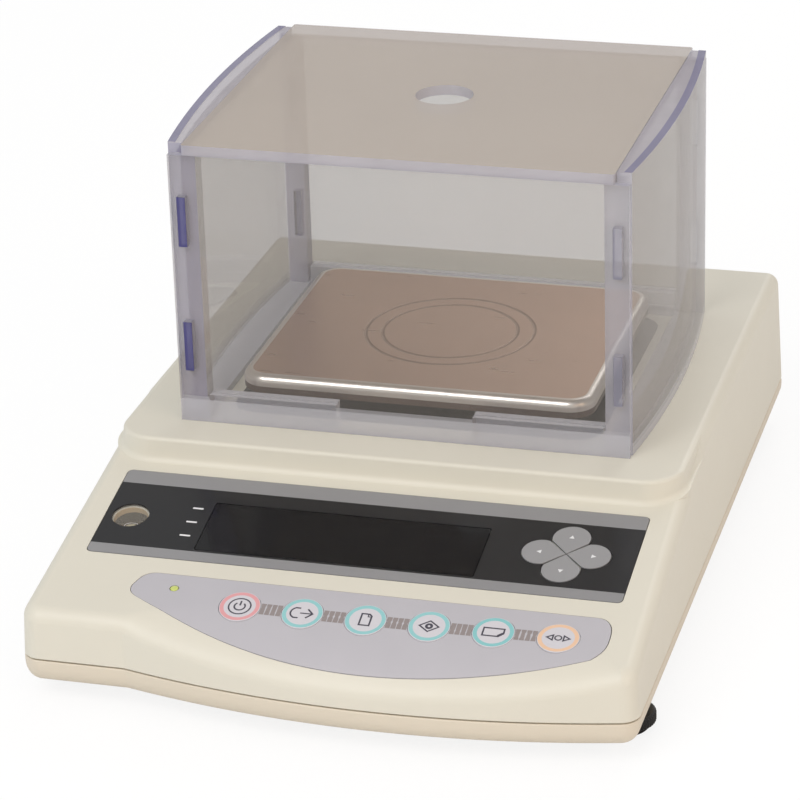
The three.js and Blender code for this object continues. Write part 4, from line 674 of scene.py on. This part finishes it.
coarse = casing_outline(3, 16)
tray_body = level_stack("lower_tray_skin", casing_outline(12, 80),
                        tray_levels(0, TRAY_Z, 7.0, 8) + [(0, 16.9), (0.35, PARTING_Z)])
end_at(tray_body, REAR_Y, REAR_EDGE)
hollow = level_stack("tray_hollow", coarse,
                     tray_levels(WALL, TRAY_Z + WALL, 4.5, 3) + [(WALL, 19)])
cut(tray_body, end_at(hollow, REAR_Y - WALL))
tongue = level_stack("tray_tongue", coarse, [(2.2, 15), (2.2, 17), (2.8, 17.1), (2.8, 18.4)])
end_at(tongue, REAR_Y - 2.8)
hollow = level_stack("tongue_hollow", coarse, [(4, 14), (4, 20)])
cut(tongue, end_at(hollow, REAR_Y - 4))
cut(tray_body, tongue, "UNION")
FEET = [(-105.6, -121.1), (105.6, -121.1), (-96.5, 128.2), (96.5, 128.2)]
SCREWS = [(-92.0, -114.1), (92.0, -114.1), (-92.0, 109.5), (92.0, 109.5)]
for x, y in FEET:
    cut(tray_body, plate("boss", circle(x, y, 7, 32), 9, 18), "UNION")
    drill(tray_body, circle(x, y, 3.9, 32), 5, 20)
for x, y in SCREWS:
    cut(tray_body, plate("boss", circle(x, y, 5.6, 24), 9, 19.7), "UNION")
    drill(tray_body, circle(x, y, 3.7, 24), 5, 11.6)
    drill(tray_body, circle(x, y, 1.8, 16), 5, 21)
piece(shade(dress(tray_body, tray), 34), "balance", "tray", "lower_tray")

# Display panel, its window, the cursor keys and the small marks
y_low = CONSOLE_Y - PANEL_D / 2 * cos(SLOPE)
grey, dark = (150, 150, 152), (20, 20, 23)
bands = [(0, grey), (5.3 / PANEL_D, dark), (43.4 / PANEL_D, grey)]
panel_film = banded_film("display_panel_film", "Y", y_low, PANEL_TOP, bands, 0.34)
window_hole = rounded(WINDOW_W, WINDOW_D, 0.8, 4, x=WINDOW_X, y=WINDOW_V)
level_hole = circle(LEVEL_X, LEVEL_V, 7.1)
panel = plate("display_panel_film", rounded(PANEL_W, PANEL_D, 2), -0.9, 0.1, [panel_film],
              [window_hole, level_hole, quatrefoil(PETAL_R + 0.3)], CONSOLE)
piece(panel, "balance", "dark_panel", "display_panel")
window = plate("display_window_pane", rounded(WINDOW_W - 0.6, WINDOW_D - 0.6, 0.8, 6), -0.9, 0.02,
               [window_glass], move=on_console(WINDOW_X, WINDOW_V))
piece(soften(window, 0.25), "balance", "dark_glass", "display_window")

for k, name in enumerate(("right", "up", "left", "down")):
    turn = on_console(CURSOR_X, CURSOR_V) @ Matrix.Rotation(k * pi / 2, 4, "Z")
    sweep = radians(107)
    outline = [(0.3, 0)] + arc(PETAL_OFF, 0, PETAL_R, -sweep, sweep, 36)
    petal = plate("petal_" + name, outline, -0.5, 0.3, [cursor_grey], move=turn)
    soften(petal, 0.35, 3)
    stem = plate("petal_stem_" + name, circle(PETAL_OFF, 0, STEM_R, 20), STEM_LOW, -0.4,
                 [cursor_grey], move=turn)
    arrow = plate("petal_arrow_" + name, [(9.4, -1.0), (11.2, 0), (9.4, 1.0)], 0.3, 0.34,
                  [white_ink], move=turn)
    for o in (petal, stem, arrow):
        piece(o, f"cursor_key_{name}_body", "cursor_keys")
    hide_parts(f"cursor_key_{name}")
for v in (5.6, -2.9, -11.3):
    dash = plate("display_mark", rounded(4.2, 0.9, 0.3, 3), 0.1, 0.13, [white_ink],
                 move=on_console(-67.5, v))
    piece(dash, "balance", "dark_panel")

# Key panel, rolled over with the cover
rolled = plate("key_panel_skin", boat(0), -12, 4, [film_lilac], move=CONSOLE)
cut(rolled, casing_block("roll_top", -0.1, PARTING_Z, console_z, 16, 4, 96), "INTERSECT")
cut(rolled, casing_block("roll_under", 0.9, PARTING_Z, console_z, 8, 3, 48))
for k in KEY_FRAMES:
    drill(rolled, circle(0, 0, KEY_R + 0.15, 64), -5, 3, k)
drill(rolled, circle(LAMP_X, LAMP_V, 1.8, 32), -5, 3, CONSOLE)
piece(shade(dress(rolled, film_lilac), 30), "balance", "key_panel", "key_panel")
rolled_surface = BVHTree.FromObject(rolled, bpy.context.evaluated_depsgraph_get())


def printed(name, outline, mat):
    """A thin printed patch laid on the rolled key panel, from a convex outline in X and V."""
    n = len(outline)
    cx, cv = sum(p[0] for p in outline) / n, sum(p[1] for p in outline) / n
    verts, rows = [], 4
    down = -(CONSOLE.to_3x3() @ Vector((0, 0, 1)))
    for r in range(rows + 1):
        for x, v in outline:
            t = r / rows
            p = CONSOLE @ Vector((cx + (x - cx) * t, cv + (v - cv) * t, 6))
            hit = rolled_surface.ray_cast(p * MM, down, 1)[0]
            verts.append(hit / MM - down * INK_LIFT if hit else p + down * 6)
    faces = [(a, d, c, b) for a, b, c, d in quads(0, n, rows + 1)]
    piece(mesh(name, verts, faces, [mat]), "balance", "key_panel")


# Grey bars between the keys
BAR_PITCH, BAR_W, BAR_D = 2.08, 1.8, 5.6
key_spots = [CONSOLE.inverted() @ k.translation for k in KEY_FRAMES]
for i in range(5):
    middle = (KEY_X[i] + KEY_X[i + 1]) / 2
    v = (key_spots[i].y + key_spots[i + 1].y) / 2
    low, high = v - BAR_D / 2, v + BAR_D / 2
    for s in range(4):
        x = middle - 1.5 * BAR_PITCH + BAR_PITCH * s
        x0, x1 = x - BAR_W / 2, x + BAR_W / 2
        bar = [(x0, low), (x1, low), (x1, high), (x0, high)]
        printed(f"key_bar_{i + 1}_{s + 1}", bar, bar_ink)


def ribbon(points, width, closed):
    """A flat line of a width along points, as vertices and faces."""
    verts, faces = [], []
    n = len(points)
    for i, p in enumerate(points):
        a = Vector(points[i - 1] if i or closed else p)
        b = Vector(points[(i + 1) % n] if i < n - 1 or closed else p)
        p = Vector(p)
        d1 = (p - a).normalized() if (p - a).length else (b - p).normalized()
        d2 = (b - p).normalized() if (b - p).length else d1
        m = (d1 + d2).normalized() if (d1 + d2).length > 1e-6 else d1
        side = Vector((-m.y, m.x)) * (width / 2 / max(0.4, m.dot(d1)))
        verts += [tuple(p + side), tuple(p - side)]
    for i in range(n if closed else n - 1):
        j = (i + 1) % n
        faces.append((2 * i, 2 * i + 1, 2 * j + 1, 2 * j))
    return verts, faces


def round_line(r, a0, a1, n=28, x=0.0):
    return arc(x, 0, r, radians(a0), radians(a1), n)


# The sign on each key, as lines: their points, their width, and whether they close
PICTURES = [
    [(round_line(3.9, 0, 360)[:-1], 0.55, True), (round_line(1.9, -230, 50), 0.6, False),
     ([(0, 0.4), (0, 2.7)], 0.6, False)],
    [([(-1.0, 2.4), (-2.6, 2.4)] + round_line(2.6, 118, 242, 12, -1.6)
      + [(-2.6, -2.4), (-1.0, -2.4)], 0.6, False),
     ([(1.6, 2.2), (3.7, 0), (1.6, -2.2)], 0.6, False), ([(-0.8, 0), (3.3, 0)], 0.5, False)],
    [([(-1.8, -2.6), (1.8, -2.6), (1.8, 2.0), (0.9, 2.9), (-1.8, 2.9)], 0.6, True),
     ([(0.6, 2.8), (0.6, 1.6), (1.8, 1.6)], 0.4, False)],
    [([(0, 2.6), (3.4, 0), (0, -2.6), (-3.4, 0)], 0.55, True),
     (round_line(0.95, 0, 360, 16)[:-1], 0.9, True)],
    [([(-3.6, -1.9), (2.0, -1.9), (3.6, -0.4), (3.6, 1.9), (-3.6, 1.9)], 0.6, True),
     ([(1.8, -1.7), (3.4, -0.2)], 0.9, False)],
    [([(-4.0, 0), (-1.9, 1.3), (-1.9, -1.3)], 0.55, True),
     (round_line(1.15, 0, 360, 18)[:-1], 0.5, True),
     ([(4.0, 0), (1.9, 1.3), (1.9, -1.3)], 0.55, True)],
]
for i, k in enumerate(KEY_FRAMES):
    low = STEM_LOW - key_spots[i].z
    profile = [(0, low), (STEM_R, low), (STEM_R, -0.5), (KEY_R - 0.15, -0.5), (KEY_R, -0.35),
               (KEY_R, KEY_TOP - 0.2), (KEY_R - 0.08, KEY_TOP - 0.06), (KEY_R - 0.2, KEY_TOP),
               (KEY_R - 0.3, KEY_TOP), (5.9, KEY_TOP), (5.4, KEY_TOP), (0, KEY_TOP)]
    picks = [0] * 8 + [1, 0, 0]
    cap = lathe(f"key_cap_{i + 1}", profile, [key_face, rings[i]], picks, 72, k)
    piece(cap, f"function_key_{i + 1}_body", "key_film", f"function_key_{i + 1}")
    verts, faces = [], []
    for points, width, closed in PICTURES[i]:
        v, f = ribbon(points, width, closed)
        lift = KEY_TOP + INK_LIFT + 0.004 * (len(verts) % 7)
        faces += [tuple(q + len(verts) for q in face) for face in f]
        verts += [k @ Vector((x * 1.05, y * 1.05, lift)) for x, y in v]
    sign = mesh(f"key_sign_{i + 1}", verts, faces, [ink])
    piece(sign, f"function_key_{i + 1}_body", "key_film")

dome = [(0, -8.7), (1.5, -8.7), (1.5, 0)]
dome += [(1.5 * cos(a), 0.4 * sin(a)) for a in quarter(8, 1)[:-1]] + [(0, 0.4)]
dome = lathe("lamp_dome", dome, [lamp_green], sides=40, move=on_console(LAMP_X, LAMP_V))
piece(dome, "balance", "lamp", "status_lamp")

# Spirit level: a lens in the panel, a sleeve below it, and the vial with its bubble and ring
level_frame = on_console(LEVEL_X, LEVEL_V)
lens = [(0, -0.9), (6.8, -0.9), (6.8, -0.15), (6.65, 0.0), (4.0, 0.06), (0, 0.1)]
lens = lathe("level_lens", lens, [lens_clear], move=level_frame)
piece(lens, "balance", "dark_glass", "level_window")
# The sleeve's rings are painted shade in the level's hole: dark below, the shaded plastic's tan
# above.
for low, high, mat in ((-7.5, -3.5, vial_dark_and_hole_shade), (-3.5, -1.3, sleeve_shade_tan)):
    sleeve = plate("level_sleeve", circle(0, 0, 8.2), low, high, [mat], [circle(0, 0, 6.5)],
                   level_frame)
    piece(sleeve, "balance", "casing")
low, high = (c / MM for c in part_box("level_vial"))
spot = shift(((low.x + high.x) / 2, (low.y + high.y) / 2, low.z))
vial = [(0, 0), (5.2, 0), (6.2, 1), (6.2, 7), (5.6, 7.7), (4.6, 8), (0, 8)]
vial = lathe("level_vial_glass", vial, [vial_dark_and_hole_shade], move=spot)
piece(vial, "balance", "vial_glass", "level_vial")
mark = plate("level_ring", circle(0, 0, 2.9), 7.99, 8.02, [white_ink], [circle(0, 0, 2.6)], spot)
piece(mark, "balance", "vial_glass")
bubble = [(0, 7.6), (1.9, 7.65), (2.2, 7.85), (1.9, 8.06), (1.0, 8.16), (0, 8.2)]
piece(lathe("level_bubble", bubble, [bubble_clear], move=spot), "balance", "vial_glass")


# Pan with its rolled edge and two turned rings
def on_pan(points, z):
    """Points at a height from the pan's top."""
    return [tuple(shift((0, SHIELD_Y, PAN_TOP)) @ Vector((x, y, z))) for x, y in points]


def pan_ring(inset, z):
    return on_pan(rounded(PAN_W - 2 * inset, PAN_D - 2 * inset, PAN_R - inset, 12), z)


# Skirt and rolled edge, from the lower rim up
pan_rings = [pan_ring(1.2, -PAN_SKIRT), pan_ring(0.15, -PAN_SKIRT), pan_ring(0, 0.2 - PAN_SKIRT),
             pan_ring(0, -4.4)]
pan_rings += [pan_ring(PAN_ROLL * (1 - cos(a)), -PAN_ROLL * (1 - sin(a))) for a in quarter(10)]
pan_rings.append(pan_ring(PAN_FLAT, 0))
verts = [p for ring in pan_rings for p in ring]
n = len(pan_rings[0])
faces = quads(0, n, len(pan_rings))
TOP, ROLLED, GROOVE, SKIRT = range(4)
# The skirt's lower bands take the darker steel, painted shade; the rolled edge takes the paler
# steel, a painted highlight.
picks = [SKIRT] * (3 * n) + [ROLLED] * (len(faces) - 3 * n)

# Flat top round the turned part, then the turned part itself, from its edge in
loops = [rounded(PAN_W - 2 * PAN_FLAT, PAN_D - 2 * PAN_FLAT, PAN_R - PAN_FLAT, 12),
         circle(0, 0, TURNED_R, TURNED_SIDES)]
tris = tessellate_polygon([[Vector((x, y, 0)) for x, y in loop] for loop in loops])
base, start = len(verts) - n, len(verts)
groove = ((0.75, 0), (0.4, -0.07), (0, -0.1), (-0.4, -0.07), (-0.75, 0))
turned = [(TURNED_R, 0)] + [(r + step, z) for r in (33.6, 26.9) for step, z in groove]
turned += [(20.0, 0), (10.0, 0), (3.0, 0)]
for r, z in turned:
    verts += on_pan(circle(0, 0, r, TURNED_SIDES), z)
for a, b, c in tris:
    ids = [base + q if q < n else start + q - n for q in (a, b, c)]
    p, q, s = (Vector(verts[q]) for q in ids)
    faces.append(tuple(ids) if (q - p).cross(s - p).z > 0 else (ids[0], ids[2], ids[1]))
    picks.append(TOP)
faces += quads(start, TURNED_SIDES, len(turned))
# Faces in the grooves take the darker steel, painted shade.
for edge, inner in zip(turned, turned[1:]):
    picks += [GROOVE if edge[1] or inner[1] else TOP] * TURNED_SIDES
faces.append(tuple(len(verts) - TURNED_SIDES + i for i in range(TURNED_SIDES)))
picks.append(TOP)

# Underside
start = len(verts)
for inset, z in ((1.2, -2.8), (1.7, -1.7), (2.8, -1.2)):
    verts += pan_ring(inset, z)
faces += [((i + 1) % n, i, start + i, start + (i + 1) % n) for i in range(n)]
faces += [(b, a, d, c) for a, b, c, d in quads(start, n, 3)]
faces.append(tuple(reversed(range(start + 2 * n, start + 3 * n))))
picks += [ROLLED] * (3 * n + 1)
pan = mesh("pan_sheet", verts, faces, [pan_steel, rim_steel_painted_highlight, groove_steel_painted_shade, skirt_steel_painted_shade], picks, 40)
for p in pan.data.polygons:
    p.use_smooth = abs(p.normal.z) < 0.9999
piece(pan, "pan", "pan_steel", "weighing_pan")

sheet = plate("chamber_floor_sheet", rounded(PAN_W + 6, PAN_D + 6, 10, 12), -0.8, 0.4, [black],
              [circle(0, 0, 9)], shift((0, SHIELD_Y, DECK_Z)))
piece(soften(sheet, 0.2), "balance", "black_plastic", "chamber_floor")

# Inner pieces that keep their solids, with softened edges
for name in ("pan_spider", "base_plate", "weigh_frame", "load_carrier", "main_board",
             "display_board", "key_board"):
    bevel(frame["nodes"][name], 0.3, 2, 50)

# Wind shield
ARC_R = (SHIELD_D ** 2 + BOW ** 2) / (2 * BOW)
ARC_X = SHIELD_X + BOW - ARC_R
END_Y = SHIELD_D - PANE - 0.1
shield_place = shift((0, SHIELD_Y, SHIELD_Z))


def band_at(o, height):
    """Splits o's faces at a height above the shield's foot, which gets a look of its own."""
    split = bmesh.new()
    split.from_mesh(o.data)
    bmesh.ops.bisect_plane(split, geom=split.verts[:] + split.edges[:] + split.faces[:],
                           plane_co=(0, 0, (SHIELD_Z + height) * MM), plane_no=(0, 0, 1))
    split.to_mesh(o.data)
    split.free()
    return shade(o)


def bow(r):
    """The curve of a side pane's face of radius r."""
    end = asin(END_Y / r)
    return arc(ARC_X, 0, r, -end, end, 40)


def inner_x(y):
    return ARC_X + sqrt((ARC_R - PANE) ** 2 - y ** 2)


def tint(o, pick, mats):
    """Gives each face the one of mats that pick chooses from its normal and its middle."""
    for p in dress(o, *mats).data.polygons:
        c = p.center / MM
        p.material_index = pick(p.normal, Vector((c.x, c.y - SHIELD_Y, c.z - SHIELD_Z)))
    return o


def side_pane(side, name, mats):
    """A bowed pane with its ledge, flange, posts and tabs, drawn at the right (side 1)."""
    outer = bow(ARC_R)
    inner = [(inner_x(y), y) for x, y in reversed(bow(ARC_R - PANE))]
    inner[0], inner[-1] = (inner_x(END_Y), END_Y), (inner_x(-END_Y), -END_Y)
    solid = plate("shield_side_" + name, outer + inner, 0, SHIELD_H)
    ledge = outer + [(LID_X + 0.3, END_Y), (LID_X + 0.3, -END_Y)]
    cut(solid, plate("ledge", ledge, SHIELD_H - LID_T, SHIELD_H - 0.25), "UNION")
    cut(solid, plate("flange", outer + [(78, END_Y), (78, -END_Y)], 0.001, 3), "UNION")
    for end in (-1, 1):
        y0, y1 = sorted((end * END_Y, end * (END_Y - 7)))
        post = block("post", SHIELD_X - POST, SHIELD_X + 0.1, y0, y1, 0.05, SHIELD_H - LID_T - 0.05)
        cut(solid, post, "UNION")
        y0, y1 = sorted((end * SHIELD_D, end * (END_Y - 3)))
        for z in TAB_HEIGHTS:
            tab = block("tab", TAB_X - 1.65, TAB_X + 1.65, y0, y1, z - TAB_RISE, z + TAB_RISE)
            cut(solid, tab, "UNION")
    place = shift((0, SHIELD_Y * MM, SHIELD_Z * MM))
    solid.data.transform(place @ Matrix.Diagonal((side, 1, 1, 1)))
    if side < 0:
        solid.data.flip_normals()
    band_at(soften(solid, 0.25), SIDE_BAND)

    face, rim, tab_end, flange, post_end, ledge_top, post_side, foot = range(8)

    def pick(n, c):
        if abs(c.y) > END_Y + 0.5:
            return tab_end
        if c.z > SHIELD_H - 0.5:
            return rim if c.z > SHIELD_H - 0.05 else ledge_top
        if abs(n.y) > 0.8 and abs(c.x) > SHIELD_X - POST - 0.5:
            return post_end if abs(c.y) > END_Y - 0.5 else post_side
        if c.z < 3.2 or (abs(n.x) > 0.8 and c.z > SHIELD_H - LID_T and abs(c.x) < LID_X + 1):
            return flange
        return foot if c.z < SIDE_BAND else face

    piece(tint(solid, pick, mats), "wind_shield", "clear_acrylic", "shield_" + name)


def end_pane(end, node, main, rails):
    """The front (end -1) or rear pane, with slots for the tabs and rails inside its foot."""
    stand = shield_place @ Matrix.Diagonal((1, end, 1, 1)) @ shift((0, SHIELD_D - PANE, 0))
    slots = [rounded(3.5, 20.2, 0.4, 3, x, h) for x in (-TAB_X, TAB_X) for h in TAB_HEIGHTS]
    top = SHIELD_H - LID_T - 0.1
    outline = [(-SHIELD_X, 0), (SHIELD_X, 0), (SHIELD_X, top), (-SHIELD_X, top)]
    solid = plate(node + "_pane", outline, 0, PANE, holes=slots, move=stand @ UPRIGHT)
    if end > 0:
        solid.data.flip_normals()
    inside = SHIELD_D - PANE - RAIL_DEPTH
    for x0, x1 in rails:
        y0, y1 = sorted((end * inside, end * (SHIELD_D - PANE + 0.5)))
        rail = block("rail", x0, x1, y0 + SHIELD_Y, y1 + SHIELD_Y, SHIELD_Z + 0.01,
                     SHIELD_Z + RAIL_H)
        for y, z in ((inside, SHIELD_Z + 5), (SHIELD_D - PANE - 2.4, SHIELD_Z + RAIL_H)):
            y = end * y + SHIELD_Y
            cut(rail, block("groove", x0 - 2, x1 + 2, y - 0.6, y + 0.6, z - 0.6, z + 0.6))
        cut(solid, rail, "UNION")
    band_at(soften(solid, 0.25), FOOT_BAND)

    # The rims take the pale edge colour, a painted highlight.
    mats = [main, edge_pale, rail_clear, foot_clear]
    face, rim, rail, foot = range(4)

    def pick(n, c):
        if c.z < RAIL_H + 0.3 and abs(c.y) < SHIELD_D - PANE - 0.2:
            return rail
        if c.z < FOOT_BAND and abs(n.y) > 0.6:
            return foot
        return rim if abs(n.y) < 0.6 and (abs(c.x) > 80 or c.z > 100 or c.z < 1) else face

    piece(tint(solid, pick, mats), "wind_shield", "clear_acrylic", node)


# Right pane: faces darker as painted shade, violet rims as painted reflection, pale tabs, posts and
# ledges as painted light.
side_pane(1, "right", [right_pane_painted_shade, edge_violet_painted_reflection, tab_pale_painted_highlight, rail_clear, edge_pale, ledge_pale,
                       post_side_painted_light, foot_clear])
# Left pane: faces darker as painted shade; violet rims and posts and dark blue tabs as painted
# reflection.
side_pane(-1, "left", [far_pane_painted_shade, edge_violet_painted_reflection, tab_blue_painted_reflection, rail_clear, post_violet_painted_reflection, ledge_pale,
                       post_side_painted_light, foot_clear])
end_pane(-1, "shield_front", wall_clear, [(-RAIL_END, -RAIL_START), (RAIL_START, RAIL_END)])
# The rear pane's faces take the darker copy, painted shade.
end_pane(1, "shield_rear", far_pane_painted_shade, [(-RAIL_END, RAIL_END)])
lid = plate("lid_sheet", rounded(2 * LID_X, 2 * SHIELD_D, 1.0, 6), 0, LID_T,
            holes=[circle(0, 0, LID_HOLE, 96)],
            move=shield_place @ shift((0, 0, SHIELD_H - LID_T)))
# The lid's edges take the pale edge colour, a painted highlight.
tint(soften(lid, 0.35, 3), lambda n, c: 0 if abs(n.z) > 0.7 else 1, [lid_clear, edge_pale])
piece(lid, "lid", "lid_acrylic", "shield_lid")

# Feet, screws and rear connectors
WHEEL = [(0, 2.5), (9.6, 2.5), (10.4, 3.0), (10.6, 3.4), (10.6, 6.1), (10.4, 6.6), (9.6, 7.0),
         (4.2, 7.0), (3.6, 7.2), (3.6, 20.6), (3.2, 21), (0, 21)]
PAD = [(0, 0), (3.4, 0), (3.8, 0.4), (4.8, 0.4), (5.2, 0), (7.4, 0), (8, 0.6), (8, 1.9),
       (7.6, 2.4), (0, 2.4)]
SCREW = [(0, 9.4), (2.2, 9.45), (3.1, 9.8), (3.4, 10.4), (3.4, 11.5), (1.5, 11.5), (1.5, 29.6),
         (1.1, 30), (0, 30)]
for i, (x, y) in enumerate(FEET):
    at = shift((x, y, 0))
    wheel = lathe(f"foot_knob_{i + 1}", WHEEL, [foot_black], sides=96, move=at,
                  knurl=((1, 2, 3, 4), 0.45))
    piece(wheel, f"foot_wheel_{i + 1}_body", "foot_plastic", f"foot_wheel_{i + 1}")
    pad = lathe(f"foot_sole_{i + 1}", PAD, [rubber], move=at)
    piece(pad, f"foot_pad_{i + 1}_body", "rubber", f"foot_pad_{i + 1}")
for i, (x, y) in enumerate(SCREWS):
    at = shift((x, y, 0))
    screw = lathe(f"screw_{i + 1}", SCREW, [plated], sides=40, move=at)
    for a in (0, pi / 2):
        turn = at @ Matrix.Rotation(a, 4, "Z")
        cut(screw, block("cross", -1.9, 1.9, -0.4, 0.4, 8, 10.4, turn))
    piece(shade(dress(screw, plated)), "balance", "screw_metal", f"cover_screw_{i + 1}")

rear = shift((0, REAR_PLATE_Y, PORT_Z)) @ UPRIGHT


def rear_plate(name, outline, y0, y1, mat, holes=(), x=0.0):
    """A plate that faces the back: its outline is in X and Z from the connectors' height."""
    o = plate(name, outline, y0, y1, [mat], holes, rear @ shift((x, 0, 0)))
    o.data.flip_normals()
    return o


def d_shape(inset):
    """The serial socket's outline, with rounded corners."""
    w, h = 9.0 - inset, 4.2 - inset
    corners = [Vector(c) for c in ((-w + 1, -h), (w - 1, -h), (w, h), (-w, h))]
    r = 1.6 - min(inset, 0.9)
    out = []
    for a, c, b in zip(corners[-1:] + corners, corners, corners[1:] + corners):
        p, q = c + (a - c).normalized() * r, c + (b - c).normalized() * r
        out += [tuple(p)] + bezier([p, c, q], 6)
    return out


serial = rear_plate("serial_flange", rounded(31, 12.5, 1.5, 6), 0.05, 1.2, plated)
shell = rear_plate("serial_shell", d_shape(0), 1.2, 4.9, plated, [d_shape(0.6)[::-1]])
pins = [circle(-5.5 + 2.75 * i, 1.4, 0.55, 16) for i in range(5)]
pins += [circle(-4.1 + 2.75 * i, -1.4, 0.55, 16) for i in range(4)]
insert = rear_plate("serial_insert", rounded(15, 5, 1.2, 5), 1.2, 3.7, black, pins)
backing = rear_plate("serial_back", rounded(17.4, 7.8, 1, 4), -9, 0.05, black)
for o in (serial, shell, insert, backing):
    for v in o.data.vertices:
        v.co.x += SERIAL_X * MM
    piece(o, "balance", "screw_metal")
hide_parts("serial_socket")
for x in (SERIAL_X - 12.5, SERIAL_X + 12.5):
    nut = rear_plate("serial_post", circle(0, 0, 2.6, 6), 1.2, 4.6, plated,
                     [circle(0, 0, 1.2, 16)], x)
    piece(soften(nut, 0.2), "balance", "screw_metal")
jack_out = shift((JACK_X, REAR_PLATE_Y, PORT_Z)) @ Matrix.Rotation(-pi / 2, 4, "X")
jack = [(0, -12), (5, -12), (5, 0.3), (5.7, 0.3), (6, 0.6), (6, 1.5), (5.6, 1.9), (3.5, 1.9),
        (3.1, 1.5), (3.1, -7.1), (1.1, -7.1), (1, -7.0), (1, -0.2), (0.7, 0.3), (0, 0.3)]
jack = lathe("jack_body", jack, [black, plated], [0] * 10 + [1] * 4, 48, jack_out)
piece(jack, "balance", "black_plastic", "power_jack")


# Floor, light and camera
def seen_directly(m):
    """1 where the camera sees m itself or through a clear piece, otherwise 0."""
    path = add_node(m, "LightPath", {})
    rays = {0: path.outputs["Is Camera Ray"], 1: path.outputs["Is Transmission Ray"]}
    return add_node(m, "Math", rays, operation="MAXIMUM").outputs["Value"]


def mix_shaders(m, share, first, second, output):
    """Sends first, and share of second, to the output."""
    both = add_node(m, "MixShader", {"Fac": share, 1: first, 2: second})
    feed(m, m.node_tree.nodes[output], {"Surface": both.outputs["Shader"]})


corners = [(x * FLOOR_REACH, y * FLOOR_REACH, 0) for x, y in ((-1, -1), (1, -1), (1, 1), (-1, 1))]
floor = mesh("floor", corners, [(0, 1, 2, 3)])
card = surface("floor_card", FLOOR_COLOR, 0.9, vary=0.01)
glow = add_node(card, "Emission", {"Strength": FLOOR_GLOW})
part = add_node(card, "Math", {0: seen_directly(card), 1: FLOOR_GLOW_SHARE}, operation="MULTIPLY")
matt = card.node_tree.nodes["Principled BSDF"].outputs["BSDF"]
mix_shaders(card, part.outputs["Value"], matt, glow.outputs["Emission"], "Material Output")
floor.data.materials.append(card)

world = bpy.data.worlds.new("studio")
bpy.context.scene.world = world
world.use_nodes = True
plain = world.node_tree.nodes["Background"]
feed(world, plain, {"Color": (1, 1, 1, 1), "Strength": AMBIENT})
white = add_node(world, "Background", {"Color": (1, 1, 1, 1), "Strength": BACKDROP})
mix_shaders(world, seen_directly(world), plain.outputs["Background"],
            white.outputs["Background"], "World Output")


def lamp(name, place, size, watts, color=(255, 255, 255)):
    """A round lamp that points at the object."""
    light = bpy.data.lights.new(name, "AREA")
    light.color = linear(color)
    light.shape = "DISK"
    light.size = size
    light.energy = watts
    o = add_object(name, light)
    o.location = place
    aim = Vector((0, 0, 0.06)) - Vector(place)
    o.rotation_euler = aim.to_track_quat("-Z", "Y").to_euler()


lamp("key_light", (-0.45, -1.3, 1.5), 1.2, 15.0, (252, 252, 252))
lamp("fill_light", (1.4, -0.9, 0.8), 1.2, 6, (255, 220, 186))
lamp("rear_light", (0.2, 1.6, 1.3), 1.0, 7)

az, el, roll = map(radians, (AZIMUTH, ELEVATION, ROLL))
back = Vector((sin(az) * cos(el), -cos(az) * cos(el), sin(el)))
right = Vector((cos(az), sin(az), 0))
up = back.cross(right)
right, up = cos(roll) * right + sin(roll) * up, -sin(roll) * right + cos(roll) * up
camera = add_object("camera", bpy.data.cameras.new("camera"))
camera.matrix_world = Matrix((right, up, back)).transposed().to_4x4()
camera.location = (TARGET + back * DISTANCE) * MM
camera.data.lens = LENS
camera.data.sensor_width = 36
camera.data.clip_start = 0.05
camera.data.dof.use_dof = False
bpy.context.scene.camera = camera
bpy.context.scene.view_settings.view_transform = "Standard"
